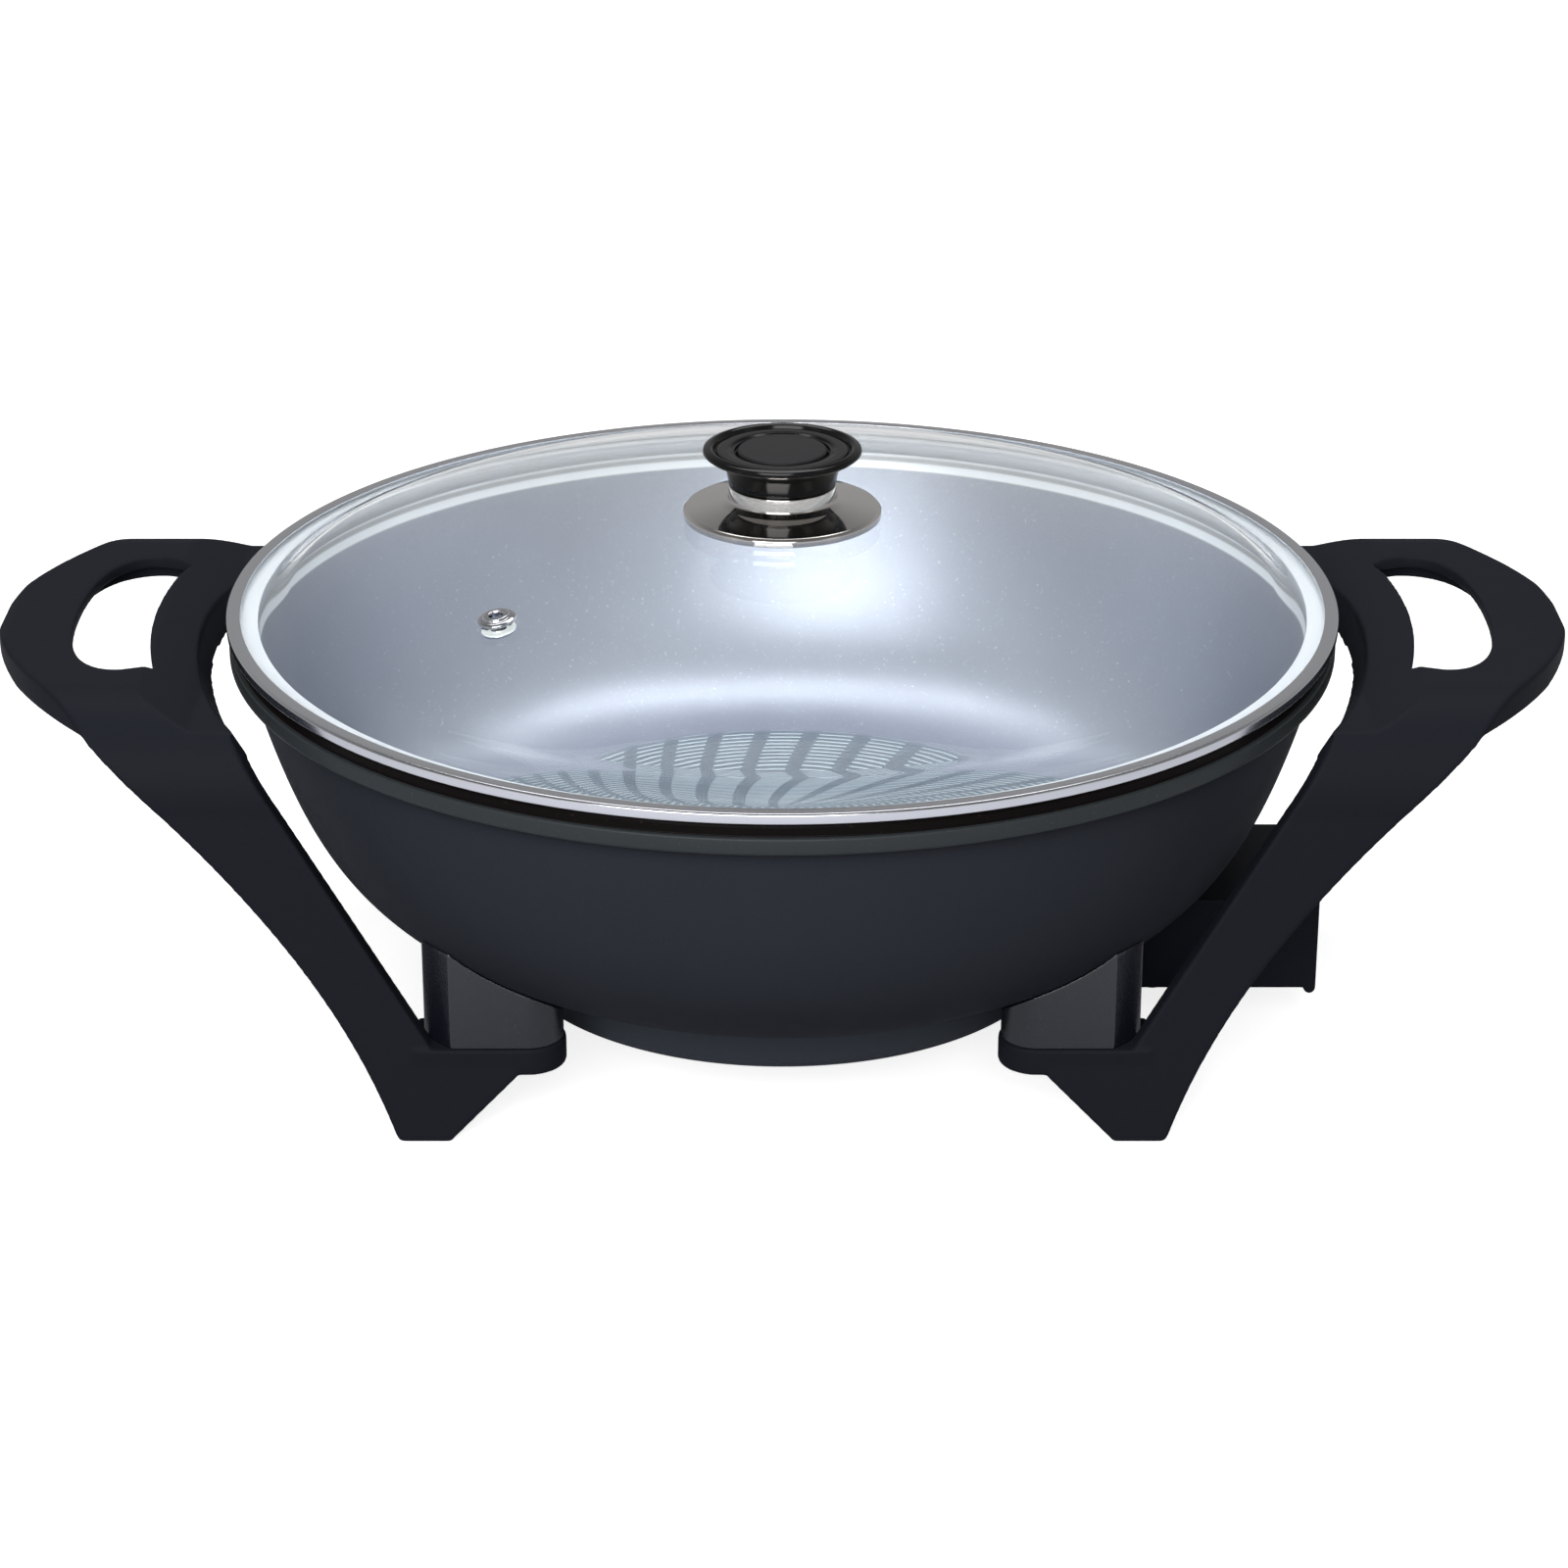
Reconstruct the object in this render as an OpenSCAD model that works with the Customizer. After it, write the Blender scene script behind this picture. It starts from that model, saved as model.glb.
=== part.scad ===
// Electric wok: cast pan with a heater in its base, two moulded handles that
// run down into legs, a guarded probe socket and a lift-off domed glass lid.
// Millimetres. Z = 0 is the table top, the pan's axis is the Z axis and the
// viewer stands on the -Y side. The probe socket opens towards +X.

/* [Pan] */
// Height of the lid seat above the table
rim_h = 139; // [130:1:150]
// Outer radius of the pan's rim flange
pan_r = 179; // [172:1:190]
// Thickness of the rim flange
flange_t = 5.4; // [3:0.2:8]
// Height of the dark rim band above the flange
rim_band = 4; // [3:0.2:6]
// Width of the seat that the lid rests on
seat_w = 6.5; // [5:0.5:8]
// Step from the flange in to the top of the wall
wall_inset = 4.6; // [4:0.2:8]
// Thickness of the wall at the rim
wall_t = 4.4; // [3:0.2:6]
// Depth of the cooking floor below the seat
pan_depth = 87; // [78:1:92]
// Thickness of the floor
floor_t = 8; // [6:0.5:10]
// Inward lean of the bowl's outside over its steep upper part
wall_lean = 17; // [13:0.5:21]
// Height of the steep upper part of the bowl's outside
wall_steep = 64; // [58:1:70]
// Reach of the bowl's rounded bottom beyond the foot ring
bottom_flare = 49; // [45:1:53]
// Rise of the bowl's rounded bottom above the foot ring
bottom_rise = 20; // [17:0.5:23]
// Inward lean of the bowl's inside from the top of the wall
inside_lean = 20; // [17:0.5:23]
// Height of the rounding between wall and cooking floor
floor_round_h = 19; // [16:0.5:23]
// Width of the rounding between wall and cooking floor
floor_round_w = 32; // [28:1:35]
// Radius of the flat cooking floor
floor_r = 106; // [96:1:112]
// Radius of the pan's foot ring
foot_ring_r = 97; // [94:1:100]
// Height of the foot ring below the underside of the floor
foot_ring_h = 12.6; // [11:0.2:14]

/* [Heater] */
// Radius of the heating ring
heater_r = 74; // [68:1:76]
// Radius of the heater's steel sheath
sheath_r = 4; // [3:0.25:4.5]
// Gap between the sheath and its channel
channel_gap = 0.15; // [0.1:0.05:0.3]
// Thickness of the casting beside the channel
ridge_wall = 3.5; // [2.5:0.5:5]
// Radius of the bends that turn the heater's ends outwards
heater_bend_r = 12; // [10:1:16]
// Distance between the two contact pins
pin_pitch = 28; // [24:1:32]
// Radius of a contact pin
pin_r = 2.4; // [2:0.1:3]
// Length of the bare pins
pin_len = 42; // [36:1:44]
// Length of the ceramic bushes at the pins' roots
bush_len = 6; // [4:0.5:10]
// Radius of the bore for the probe's sensing tip
sensor_r = 3.7; // [3:0.1:4.5]

/* [Base cover] */
// Depth of the cover's side wall
cover_h = 11.5; // [9:0.5:13]
// Thickness of the cover's sheet
cover_t = 1.6; // [1:0.1:3]
// Step in at the cover's lower edge
cover_step = 2.6; // [1.5:0.1:4]
// Height of the lower step
cover_step_h = 2.6; // [2:0.1:4]
// Radius on which the cover's screws stand
cover_screw_ring_r = 42; // [36:1:50]
// Radius of a cover screw's shank
cover_screw_r = 1.9; // [1.5:0.1:2.4]

/* [Handles] */
// Reach of a grip beyond the flange
grip_reach = 75; // [68:1:82]
// Gap between the flange and the grip plate
grip_gap = 10; // [6:0.5:14]
// Drop of the grip's top face below the lid seat
grip_drop = 2; // [1:0.5:6]
// Thickness of the grip plate
grip_t = 9.5; // [8:0.5:12]
// Fall of the grip plate at its inner edge
grip_fall = 8; // [5:0.5:9]
// Slant of the grip plate's inner wall
inner_slant = 5; // [2:0.5:7]
// Half length of the grip plate along the pan, where it turns down
grip_half_w = 95; // [90:1:98]
// Extra spread of the feet beyond the grip
leg_spread = 15; // [10:1:18]
// Radius of the shoulder between grip and leg
shoulder_r = 32; // [28:1:36]
// Thickness of the leg moulding
leg_t = 7.5; // [6.5:0.5:10]
// Distance of a foot's outer edge from the pan's axis
foot_x = 121.2; // [116:0.5:126]
// Width of a foot
foot_w = 17; // [14:0.5:20]
// Half length of the finger opening
opening_half_l = 51; // [42:1:54]
// Width of the finger opening
opening_w = 25; // [22:0.5:27]
// Width of the bar between finger opening and pan
inner_bar = 15; // [12:0.5:18]
// Thickness of the lip round the finger opening
opening_lip = 4.2; // [3.5:0.1:6]
// Width of the lip round the finger opening
opening_rebate = 5.5; // [3:0.5:7]

/* [Arms and spacers] */
// Height of the top of the support arms
arm_h = 30.4; // [29:0.2:31.5]
// Thickness of a support arm
arm_t = 9; // [7:0.5:11]
// Radius of an arm's rounded end
arm_end_r = 12; // [10:0.5:13]
// Distance of an arm's screw from the pan's axis, along X
arm_x = 80; // [77:0.5:84]
// Set back of a spacer's faces from the arm's faces
spacer_inset = 0.8; // [0.3:0.1:1.5]
// Length of a spacer from its screw to its outer side
spacer_l = 32.5; // [28:0.5:36]
// Size of the slanted outer corner of a spacer
spacer_bevel = 9; // [5:0.5:12]
// Gap between a spacer and the bowl
spacer_gap = 0.3; // [0.2:0.1:1]
// Radius of the pan's screw bosses
boss_r = 6; // [5:0.5:7]
// Length of a boss inside its spacer
boss_len = 9; // [6:0.5:12]
// Radius of a leg screw's shank
leg_screw_r = 2.4; // [2:0.1:2.8]
// Radius of a leg screw's head
leg_head_r = 4.6; // [4:0.1:5.5]

/* [Probe socket] */
// Distance of the socket's mouth from the pan's axis
shroud_x = 176; // [172:1:182]
// Distance of the socket's back wall from the pan's axis
shroud_back_x = 113.5; // [113:0.5:116]
// Width of the socket guard
shroud_w = 62; // [60:1:70]
// Drop from the heater's axis to the guard's underside
shroud_drop = 23.5; // [22:0.5:25]
// Height of the guard
shroud_h = 32; // [31:0.5:36]
// Thickness of the guard's walls
shroud_t = 3; // [2:0.25:4]
// Gap between the guard and the bowl
shroud_gap = 0.4; // [0.2:0.1:1]
// Radius of the posts that carry the guard
post_r = 4; // [3.5:0.25:4.5]
// Radius of a guard screw's shank
shroud_screw_r = 1.6; // [1.3:0.1:2]

/* [Lid] */
// Height of the glass dome above the seat
dome_h = 31.5; // [26:0.5:38]
// Thickness of the glass
glass_t = 3; // [2.6:0.1:5]
// Rise of the glass's curved edge
edge_rise = 9; // [7:0.5:12]
// Width of the glass's curved edge
edge_w = 19; // [16:0.5:24]
// Overhang of the steel rim beyond the pan's flange
rim_over = 0.6; // [0:0.2:2.5]
// Thickness of the steel rim's sheet
rim_t = 0.5; // [0.4:0.05:1]
// Depth of the steel rim's locating skirt
skirt_drop = 4.5; // [3:0.5:7]
// Gap between the lid and its seat
seat_gap = 0.3; // [0.2:0.05:0.5]
// Play between the locating skirt and the pan's mouth
mouth_play = 1.2; // [0.8:0.1:2]
// Distance of the steam vent from the lid's centre
vent_r = 111.6; // [90:1:130]
// Direction of the steam vent, from +X
vent_angle = 218; // [180:1:260]
// Radius of the steam vent's flange
vent_flange_r = 6.1; // [5:0.1:8]
// Radius of the steam vent's hole
vent_hole_r = 2.2; // [1.5:0.1:3]

/* [Knob] */
// Radius of the knob's rim
knob_r = 25.7; // [22:0.1:30]
// Height of the knob above its neck's foot
knob_h = 12.6; // [11:0.1:16]
// Radius of the knob's neck
neck_r = 17.6; // [15:0.1:18.5]
// Radius of the knob's cap
cap_r = 14.4; // [12:0.1:15]
// Radius of the steel skirt under the knob
skirt_r = 32; // [29:0.5:36]
// Height of the steel skirt's hub above the glass
hub_h = 10.4; // [9:0.2:12]
// Radius of the knob's screw
knob_screw_r = 2.5; // [2:0.1:3]

/* [Hidden] */
$fn = 96;
STEPS = 20;
EPS = 0.01;
FIT = 0.05;
bore_play = 0.3;
counterbore = 3.2;

bakelite = [0.07, 0.075, 0.085];
spacer_black = [0.10, 0.11, 0.15];
coated_alloy = [0.12, 0.13, 0.15];
inside_coating = [0.53, 0.55, 0.61];
steel = [0.85, 0.85, 0.86];
brass = [0.78, 0.62, 0.3];
ceramic = [0.93, 0.92, 0.88];
clear_glass = [0.85, 0.92, 0.94, 0.35];
silicone = [0.9, 0.9, 0.9, 0.6];

// ---- curves ---------------------------------------------------------------

function bez(p, t) = pow(1 - t, 3) * p[0] + 3 * pow(1 - t, 2) * t * p[1]
    + 3 * (1 - t) * t * t * p[2] + t * t * t * p[3];
function bez_dir(p, t) = pow(1 - t, 2) * (p[1] - p[0])
    + 2 * (1 - t) * t * (p[2] - p[1]) + t * t * (p[3] - p[2]);
function left_of(v) = [-v[1], v[0]] / norm(v);
function bez_points(p, d = 0) = [for (i = [0 : STEPS])
    bez(p, i / STEPS) + d * left_of(bez_dir(p, i / STEPS))];
function reversed(list) = [for (i = [len(list) - 1 : -1 : 0]) list[i]];
// outline from one half that starts on the line y = 0
function both_sides(half) = concat(reversed(half),
    [for (i = [1 : len(half) - 1]) [half[i][0], -half[i][1]]]);
function arc_points(c, r, a0, a1) = [for (i = [0 : STEPS])
    c + r * [cos(a0 + (a1 - a0) * i / STEPS), sin(a0 + (a1 - a0) * i / STEPS)]];

// ---- places that several pieces share -------------------------------------

grip_top_z = rim_h - grip_drop;
grip_r = pan_r + grip_gap;
grip_tip_x = pan_r + grip_reach;
arm_z = arm_h - arm_t;
leg_y0 = grip_half_w + leg_spread;
// front face of the legs at a height, by its slant
function leg_y(z) = leg_y0 - leg_spread * z / (grip_top_z - shoulder_r);
arm_y = leg_y(arm_h - arm_t / 2) - arm_end_r;

// ---- pan ------------------------------------------------------------------

wall_r = pan_r - wall_inset;
flange_z = rim_h - rim_band - flange_t;
floor_z = rim_h - pan_depth;
under_z = floor_z - floor_t;
foot_ring_z = under_z - foot_ring_h;
mouth_r = pan_r - 1.8 - seat_w;
bowl_curve = [[wall_r, flange_z], [wall_r - wall_lean, flange_z - wall_steep],
    [foot_ring_r + bottom_flare, foot_ring_z + bottom_rise], [foot_ring_r, foot_ring_z]];
inside_curve = [[wall_r - wall_t, flange_z + 2], [wall_r - inside_lean, floor_z + floor_round_h],
    [floor_r + floor_round_w, floor_z], [floor_r, floor_z]];
bowl_points = bez_points(bowl_curve);
function bowl_z(r) = lookup(r, bowl_points);

// everything inside the bowl's outside face, grown by a gap
module bowl_profile(gap) {
    outer = bez_points(bowl_curve, gap);
    last = outer[STEPS];
    polygon(concat([[0, rim_h - EPS], [pan_r + gap, rim_h - EPS],
        [pan_r + gap, flange_z - gap]], outer, [[last[0], last[1] - gap], [0, last[1] - gap]]));
}

module pan_profile() {
    inside = bez_points(inside_curve);
    edge = 1;
    polygon(concat(
        [[0, under_z], [0, floor_z]], reversed(inside),
        [[mouth_r, flange_z + flange_t], [mouth_r, rim_h - seat_gap],
         [mouth_r + seat_w - edge, rim_h - seat_gap],
         [mouth_r + seat_w, rim_h - seat_gap - edge],
         [mouth_r + seat_w, flange_z + flange_t], [pan_r - edge / 2, flange_z + flange_t],
         [pan_r, flange_z + flange_t - edge / 2], [pan_r, flange_z + edge / 2],
         [pan_r - edge / 2, flange_z]],
        bowl_points,
        [[cavity_r, foot_ring_z], [cavity_r, under_z]]));
}

cavity_r = foot_ring_r - 9;
heater_z = under_z - 5;
shroud_z = heater_z - shroud_drop;
channel_r = sheath_r + channel_gap;
ridge_z = heater_z - channel_r - 2;
// angle at which the heating ring opens towards the socket
heater_gap_a = asin((pin_pitch / 2 + heater_bend_r) / (heater_r + heater_bend_r));
lead_x = (heater_r + heater_bend_r) * cos(heater_gap_a);
sheath_end_x = shroud_back_x + shroud_t - 0.5;
groove_h = heater_z + channel_r - ridge_z + 1;
lead_in_y = pin_pitch / 2 - channel_r;
pocket_w = 2 * channel_r + heater_bend_r / 2;
lead_hole_x = cavity_r - 3;

module leads(r, x0, x1) {
    for (side = [-1, 1])
        translate([x0, side * pin_pitch / 2, heater_z])
            rotate([0, 90, 0]) cylinder(r = r, h = x1 - x0);
}

module at_arm_screws() {
    for (sx = [-1, 1], sy = [-1, 1])
        translate([sx * arm_x, sy * arm_y, 0]) children();
}

module at_posts() {
    for (side = [-1, 1])
        translate([post_x, side * post_y, 0]) children();
}

module at_cover_screws() {
    for (a = [60 : 120 : 300])
        rotate([0, 0, a]) translate([cover_screw_ring_r, 0, 0]) children();
}

boss_z = arm_h + 6;
boss_top_z = bowl_z(norm([arm_x, arm_y])) + 2;
post_x = shroud_back_x + shroud_t + post_r + 2;
post_y = shroud_w / 2 - shroud_t - post_r;
post_top_z = bowl_z(norm([post_x, post_y])) + 2;
post_z = shroud_z + shroud_t;
cover_z = foot_ring_z - cover_h - cover_step_h;
sensor_in_x = heater_r - 20;

module pan() {
    color(coated_alloy)
    difference() {
        union() {
            rotate_extrude() pan_profile();
            // heater ridge, sensor boss and the bosses under the bowl
            translate([0, 0, ridge_z]) difference() {
                cylinder(r = heater_r + channel_r + ridge_wall, h = under_z - ridge_z + EPS);
                translate([0, 0, -1])
                    cylinder(r = heater_r - channel_r - ridge_wall, h = under_z - ridge_z + 2);
            }
            translate([sensor_in_x - 5, -sensor_r - 4, ridge_z])
                cube([cavity_r - sensor_in_x + 6, 2 * sensor_r + 8, under_z - ridge_z + 1]);
            at_arm_screws() translate([0, 0, boss_z])
                cylinder(r = boss_r, h = boss_top_z - boss_z);
            at_posts() translate([0, 0, post_z])
                cylinder(r = post_r, h = post_top_z - post_z);
            at_cover_screws() translate([0, 0, cover_z + cover_t])
                cylinder(r = 4.5, h = under_z - cover_z - cover_t + 1);
        }
        // groove for the heater, open downwards, and holes for its ends
        translate([0, 0, ridge_z - 1]) difference() {
            cylinder(r = heater_r + channel_r, h = groove_h);
            translate([0, 0, -1]) cylinder(r = heater_r - channel_r, h = groove_h + 2);
            translate([0, -lead_in_y, -1]) cube([200, 2 * lead_in_y, groove_h + 2]);
        }
        for (side = [-1, 1])
            translate([heater_r - 5, side > 0 ? lead_in_y : -lead_in_y - pocket_w, ridge_z - 1])
                cube([channel_r + ridge_wall + 6, pocket_w, groove_h]);
        leads(channel_r, lead_hole_x, pan_r);
        // bore for the probe's sensing tip
        translate([sensor_in_x, 0, heater_z]) rotate([0, 90, 0])
            cylinder(r = sensor_r, h = pan_r - sensor_in_x);
        // screw holes
        at_arm_screws() translate([0, 0, boss_z - 1])
            cylinder(r = leg_screw_r + FIT, h = leg_screw_top_z - boss_z + 2);
        at_posts() translate([0, 0, post_z - 1])
            cylinder(r = shroud_screw_r + FIT, h = 12);
        at_cover_screws() translate([0, 0, cover_z])
            cylinder(r = cover_screw_r + FIT, h = under_z - cover_z + 1);
    }
}

// one end of the heater's centre line, from its bare end to the ring
function heater_end(side) = concat(
    [[sheath_end_x, side * pin_pitch / 2, 0], [lead_x + 0.1, side * pin_pitch / 2, 0]],
    [for (i = [1 : 4]) let (a = 270 - (90 - heater_gap_a) * i / 4)
        [lead_x + heater_bend_r * cos(a),
         side * (pin_pitch / 2 + heater_bend_r + heater_bend_r * sin(a)), 0]]);
heater_line = concat(heater_end(1),
    [for (i = [1 : 39]) let (a = heater_gap_a + (360 - 2 * heater_gap_a) * i / 40)
        heater_r * [cos(a), sin(a), 0]],
    reversed(heater_end(-1)));

// tube along a level line of points, with flat ends
module tube(line, r, sides = 16) {
    n = len(line);
    rings = [for (i = [0 : n - 1])
        let (d = line[min(i + 1, n - 1)] - line[max(i - 1, 0)],
             across = [-d[1], d[0], 0] / norm(d))
        for (k = [0 : sides - 1]) let (a = 360 * k / sides)
            line[i] + r * (cos(a) * across + sin(a) * [0, 0, 1])];
    walls = [for (i = [0 : n - 2], k = [0 : sides - 1])
        let (k2 = (k + 1) % sides, a = i * sides + k, b = i * sides + k2)
        for (face = [[a, b, b + sides], [a, b + sides, a + sides]]) face];
    ends = [[for (k = [sides - 1 : -1 : 0]) k], [for (k = [0 : sides - 1]) (n - 1) * sides + k]];
    polyhedron(rings, concat(walls, ends));
}

module heating_element() {
    color([0.35, 0.33, 0.32]) translate([0, 0, heater_z]) tube(heater_line, sheath_r);
}

bush_end_x = sheath_end_x + bush_len;
// radius of a pin's thinner root inside its bush
pin_root_r = pin_r - 0.5;

module terminal_pins() {
    color(steel) union() {
        leads(pin_root_r, sheath_end_x, bush_end_x + EPS);
        leads(pin_r, bush_end_x, sheath_end_x + pin_len);
    }
}

module pin_bushes() {
    color(ceramic) difference() {
        leads(sheath_r, sheath_end_x, bush_end_x);
        leads(pin_root_r + FIT, sheath_end_x - 1, bush_end_x + 1);
    }
}

// ---- base cover -----------------------------------------------------------

cover_r = foot_ring_r - 0.5;

module base_cover() {
    taper = 1.8;
    step_r = cover_r - taper - cover_step;
    color(coated_alloy) difference() {
        rotate_extrude() polygon([
            [0, cover_z], [step_r, cover_z], [step_r, cover_z + cover_step_h - 0.6],
            [step_r + 1, cover_z + cover_step_h], [cover_r - taper, cover_z + cover_step_h],
            [cover_r, foot_ring_z], [cover_r - 2 * cover_t, foot_ring_z],
            [cover_r - taper - 2 * cover_t, cover_z + cover_step_h + cover_t],
            [step_r - cover_t, cover_z + cover_step_h + cover_t],
            [step_r - cover_t, cover_z + cover_t], [0, cover_z + cover_t]]);
        at_cover_screws() translate([0, 0, cover_z - 1])
            cylinder(r = cover_screw_r + 0.2, h = cover_t + 2);
    }
}

module base_screws() {
    head_h = 2;
    color(steel) at_cover_screws() {
        translate([0, 0, cover_z - head_h]) difference() {
            cylinder(r = cover_screw_r * 2, h = head_h);
            for (a = [0, 90]) rotate([0, 0, a])
                translate([-cover_screw_r * 1.3, -0.5, -1]) cube([cover_screw_r * 2.6, 1, 2]);
        }
        translate([0, 0, cover_z - EPS]) cylinder(r = cover_screw_r, h = 14);
    }
}

// ---- handles with legs ----------------------------------------------------

outer_leg_curve = [[pan_r + 37, grip_top_z - grip_t], [foot_x + 37, 0.6 * grip_top_z - 6],
    [foot_x + 13, 0.3 * grip_top_z - 3], [foot_x, 1.5]];
inner_leg_top = [pan_r - 9.2, grip_top_z - grip_t];
inner_leg_foot = [foot_x - 11.5, arm_h];
// inner side of a leg at a height, on the line through its top and foot
function inner_leg_x(z) = inner_leg_foot[0] + (z - inner_leg_foot[1])
    * (inner_leg_top[0] - inner_leg_foot[0]) / (inner_leg_top[1] - inner_leg_foot[1]);

// side view of the moulding, with its slanted legs and round shoulders
module side_profile(inset) {
    r = shoulder_r - inset;
    y0 = leg_y0 - inset;
    cy = grip_half_w - shoulder_r;
    cz = grip_top_z - shoulder_r;
    right = concat([[y0, -1], [cy + r, cz]], arc_points([cy, cz], r, 5, 90));
    polygon(concat(right, [for (p = reversed(right)) [-p[0], p[1]]]));
}

// top view of the moulding's outside
module plan_profile() {
    wide = leg_y0 + 5;
    end = [grip_tip_x - 44, grip_half_w - 3];
    outer = concat(bez_points([[grip_tip_x, 0], [grip_tip_x, grip_half_w * 0.32],
        [grip_tip_x - 18, grip_half_w * 0.65], end]), [[end[0] - 12, wide], [0, wide]]);
    polygon(both_sides(outer));
}

// where the grip's top face starts to fall towards the pan, and where it is down
bend_x = grip_r + inner_bar - 3;
bend_end_x = grip_r - 6;
low_z = grip_top_z - grip_fall;

// front view of the grip plate, which ends inwards where the legs do
module plate_section() {
    tip_r = grip_t / 2;
    leg_step = 0.4;
    polygon([[inner_leg_x(low_z - grip_t) + leg_step, low_z - grip_t],
        [grip_r - inner_slant - 4, low_z - grip_t],
        [bend_x, grip_top_z - grip_t], [grip_tip_x - 2.4 * tip_r, grip_top_z - grip_t],
        [grip_tip_x - 0.6 * tip_r, grip_top_z - 1.6 * tip_r], [grip_tip_x, grip_top_z - tip_r],
        [grip_tip_x - 0.2 * tip_r, grip_top_z - 1.6], [grip_tip_x - 0.9 * tip_r, grip_top_z],
        [bend_x, grip_top_z], [bend_end_x, low_z], [inner_leg_x(low_z) + leg_step, low_z]]);
}

// front view of a leg, its foot and its arm
module leg_section() {
    outer = bez_points(outer_leg_curve);
    polygon(concat(
        [[inner_leg_top[0] - 1, low_z], [bend_end_x, low_z], [bend_x, grip_top_z],
         [grip_tip_x - 30, grip_top_z], [grip_tip_x - 24, grip_top_z - grip_t]],
        outer,
        [[foot_x - 1.5, 0], [foot_x - foot_w, 0], [foot_x - foot_w - arm_z + 1, arm_z - 1],
         [arm_x + 3, arm_z], [arm_x + 3, arm_h], inner_leg_foot, inner_leg_top]));
}

// finger opening, seen from above
module opening_profile() {
    x0 = grip_r + inner_bar;
    side = bez_points([[x0 + opening_w, 0], [x0 + opening_w, opening_half_l * 0.55],
        [x0 + 0.8 * opening_w, opening_half_l], [x0 + 0.2 * opening_w, opening_half_l]]);
    outer = concat(side, [[x0 - 6, opening_half_l - 4], [x0 - 9, opening_half_l - 9]]);
    difference() {
        polygon(both_sides(outer));
        circle(r = x0, $fn = 180);
    }
}

module grip_and_legs() {
    reach = 600;
    plate_z = grip_top_z - grip_t - grip_fall;
    difference() {
        intersection() {
            union() {
                rotate([90, 0, 0]) linear_extrude(reach, center = true) plate_section();
                difference() {
                    rotate([90, 0, 0]) linear_extrude(reach, center = true) leg_section();
                    rotate([90, 0, 90]) linear_extrude(reach) side_profile(leg_t);
                }
            }
            translate([0, 0, -1]) linear_extrude(rim_h + 2) plan_profile();
            rotate([90, 0, 90]) linear_extrude(reach) side_profile(0);
        }
        // inner wall along the pan
        translate([0, 0, plate_z - grip_t]) cylinder(r1 = grip_r - 2 * inner_slant,
            r2 = grip_r, h = 2 * grip_t, $fn = 180);
        translate([0, 0, plate_z + grip_t - EPS]) cylinder(r = grip_r, h = 40, $fn = 180);
        translate([0, 0, plate_z - 20]) linear_extrude(60) opening_profile();
        // rebate under the opening's edge
        translate([0, 0, plate_z - 20]) linear_extrude(grip_top_z - opening_lip - plate_z + 20)
            offset(delta = opening_rebate) opening_profile();
    }
}

// arm with a round end that runs in under the bowl
module arm(side) {
    arm_l = inner_leg_foot[0] - arm_x + 6;
    translate([arm_x, side * arm_y, arm_z]) {
        cylinder(r = arm_end_r, h = arm_t);
        translate([0, -arm_end_r, 0]) cube([arm_l, 2 * arm_end_r, arm_t]);
    }
}

module handle() {
    difference() {
        union() {
            grip_and_legs();
            for (side = [-1, 1]) arm(side);
        }
        for (side = [-1, 1]) translate([arm_x, side * arm_y, arm_z - 1]) {
            cylinder(r = leg_screw_r + bore_play, h = arm_t + 2);
            cylinder(r = leg_head_r + bore_play, h = counterbore + 1);
        }
    }
}

module handle_left() {
    color(bakelite) mirror([1, 0, 0]) handle();
}

module handle_right() {
    color(bakelite) handle();
}

// ---- spacers and leg screws -----------------------------------------------

module spacer() {
    r = arm_end_r - spacer_inset;
    tall = flange_z - arm_h;
    color(spacer_black) difference() {
        translate([0, 0, arm_h]) union() {
            translate([arm_x, arm_y, 0]) cylinder(r = r, h = tall);
            translate([arm_x, arm_y - r, 0]) linear_extrude(tall)
                polygon([[0, 0], [spacer_l, 0], [spacer_l, 2 * r - spacer_bevel],
                    [spacer_l - spacer_bevel, 2 * r], [0, 2 * r]]);
        }
        rotate_extrude() bowl_profile(spacer_gap);
        translate([arm_x, arm_y, arm_h - 1]) cylinder(r = leg_screw_r + 0.2, h = tall);
        translate([arm_x, arm_y, boss_z - FIT]) cylinder(r = boss_r + 0.2, h = tall);
    }
}

module spacer_front_left() rotate([0, 0, 180]) spacer();
module spacer_front_right() mirror([0, 1, 0]) spacer();
module spacer_rear_left() mirror([1, 0, 0]) spacer();
module spacer_rear_right() spacer();

leg_washer_t = 0.8;
leg_screw_z = arm_z + counterbore - leg_washer_t;
leg_screw_top_z = boss_top_z - 3;

module leg_screws() {
    head_h = 2.4;
    color(steel) at_arm_screws() {
        translate([0, 0, leg_screw_z - head_h]) difference() {
            cylinder(r = leg_head_r - 0.8, h = head_h);
            for (a = [0, 90]) rotate([0, 0, a])
                translate([-2.2, -0.5, -1]) cube([4.4, 1, 2]);
        }
        translate([0, 0, leg_screw_z - EPS])
            cylinder(r = leg_screw_r, h = leg_screw_top_z - leg_screw_z);
    }
}

module leg_washers() {
    color(steel) at_arm_screws() translate([0, 0, leg_screw_z]) difference() {
        cylinder(r = leg_head_r, h = leg_washer_t);
        translate([0, 0, -1]) cylinder(r = leg_screw_r + 0.1, h = leg_washer_t + 2);
    }
}

// ---- probe socket ---------------------------------------------------------

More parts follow.
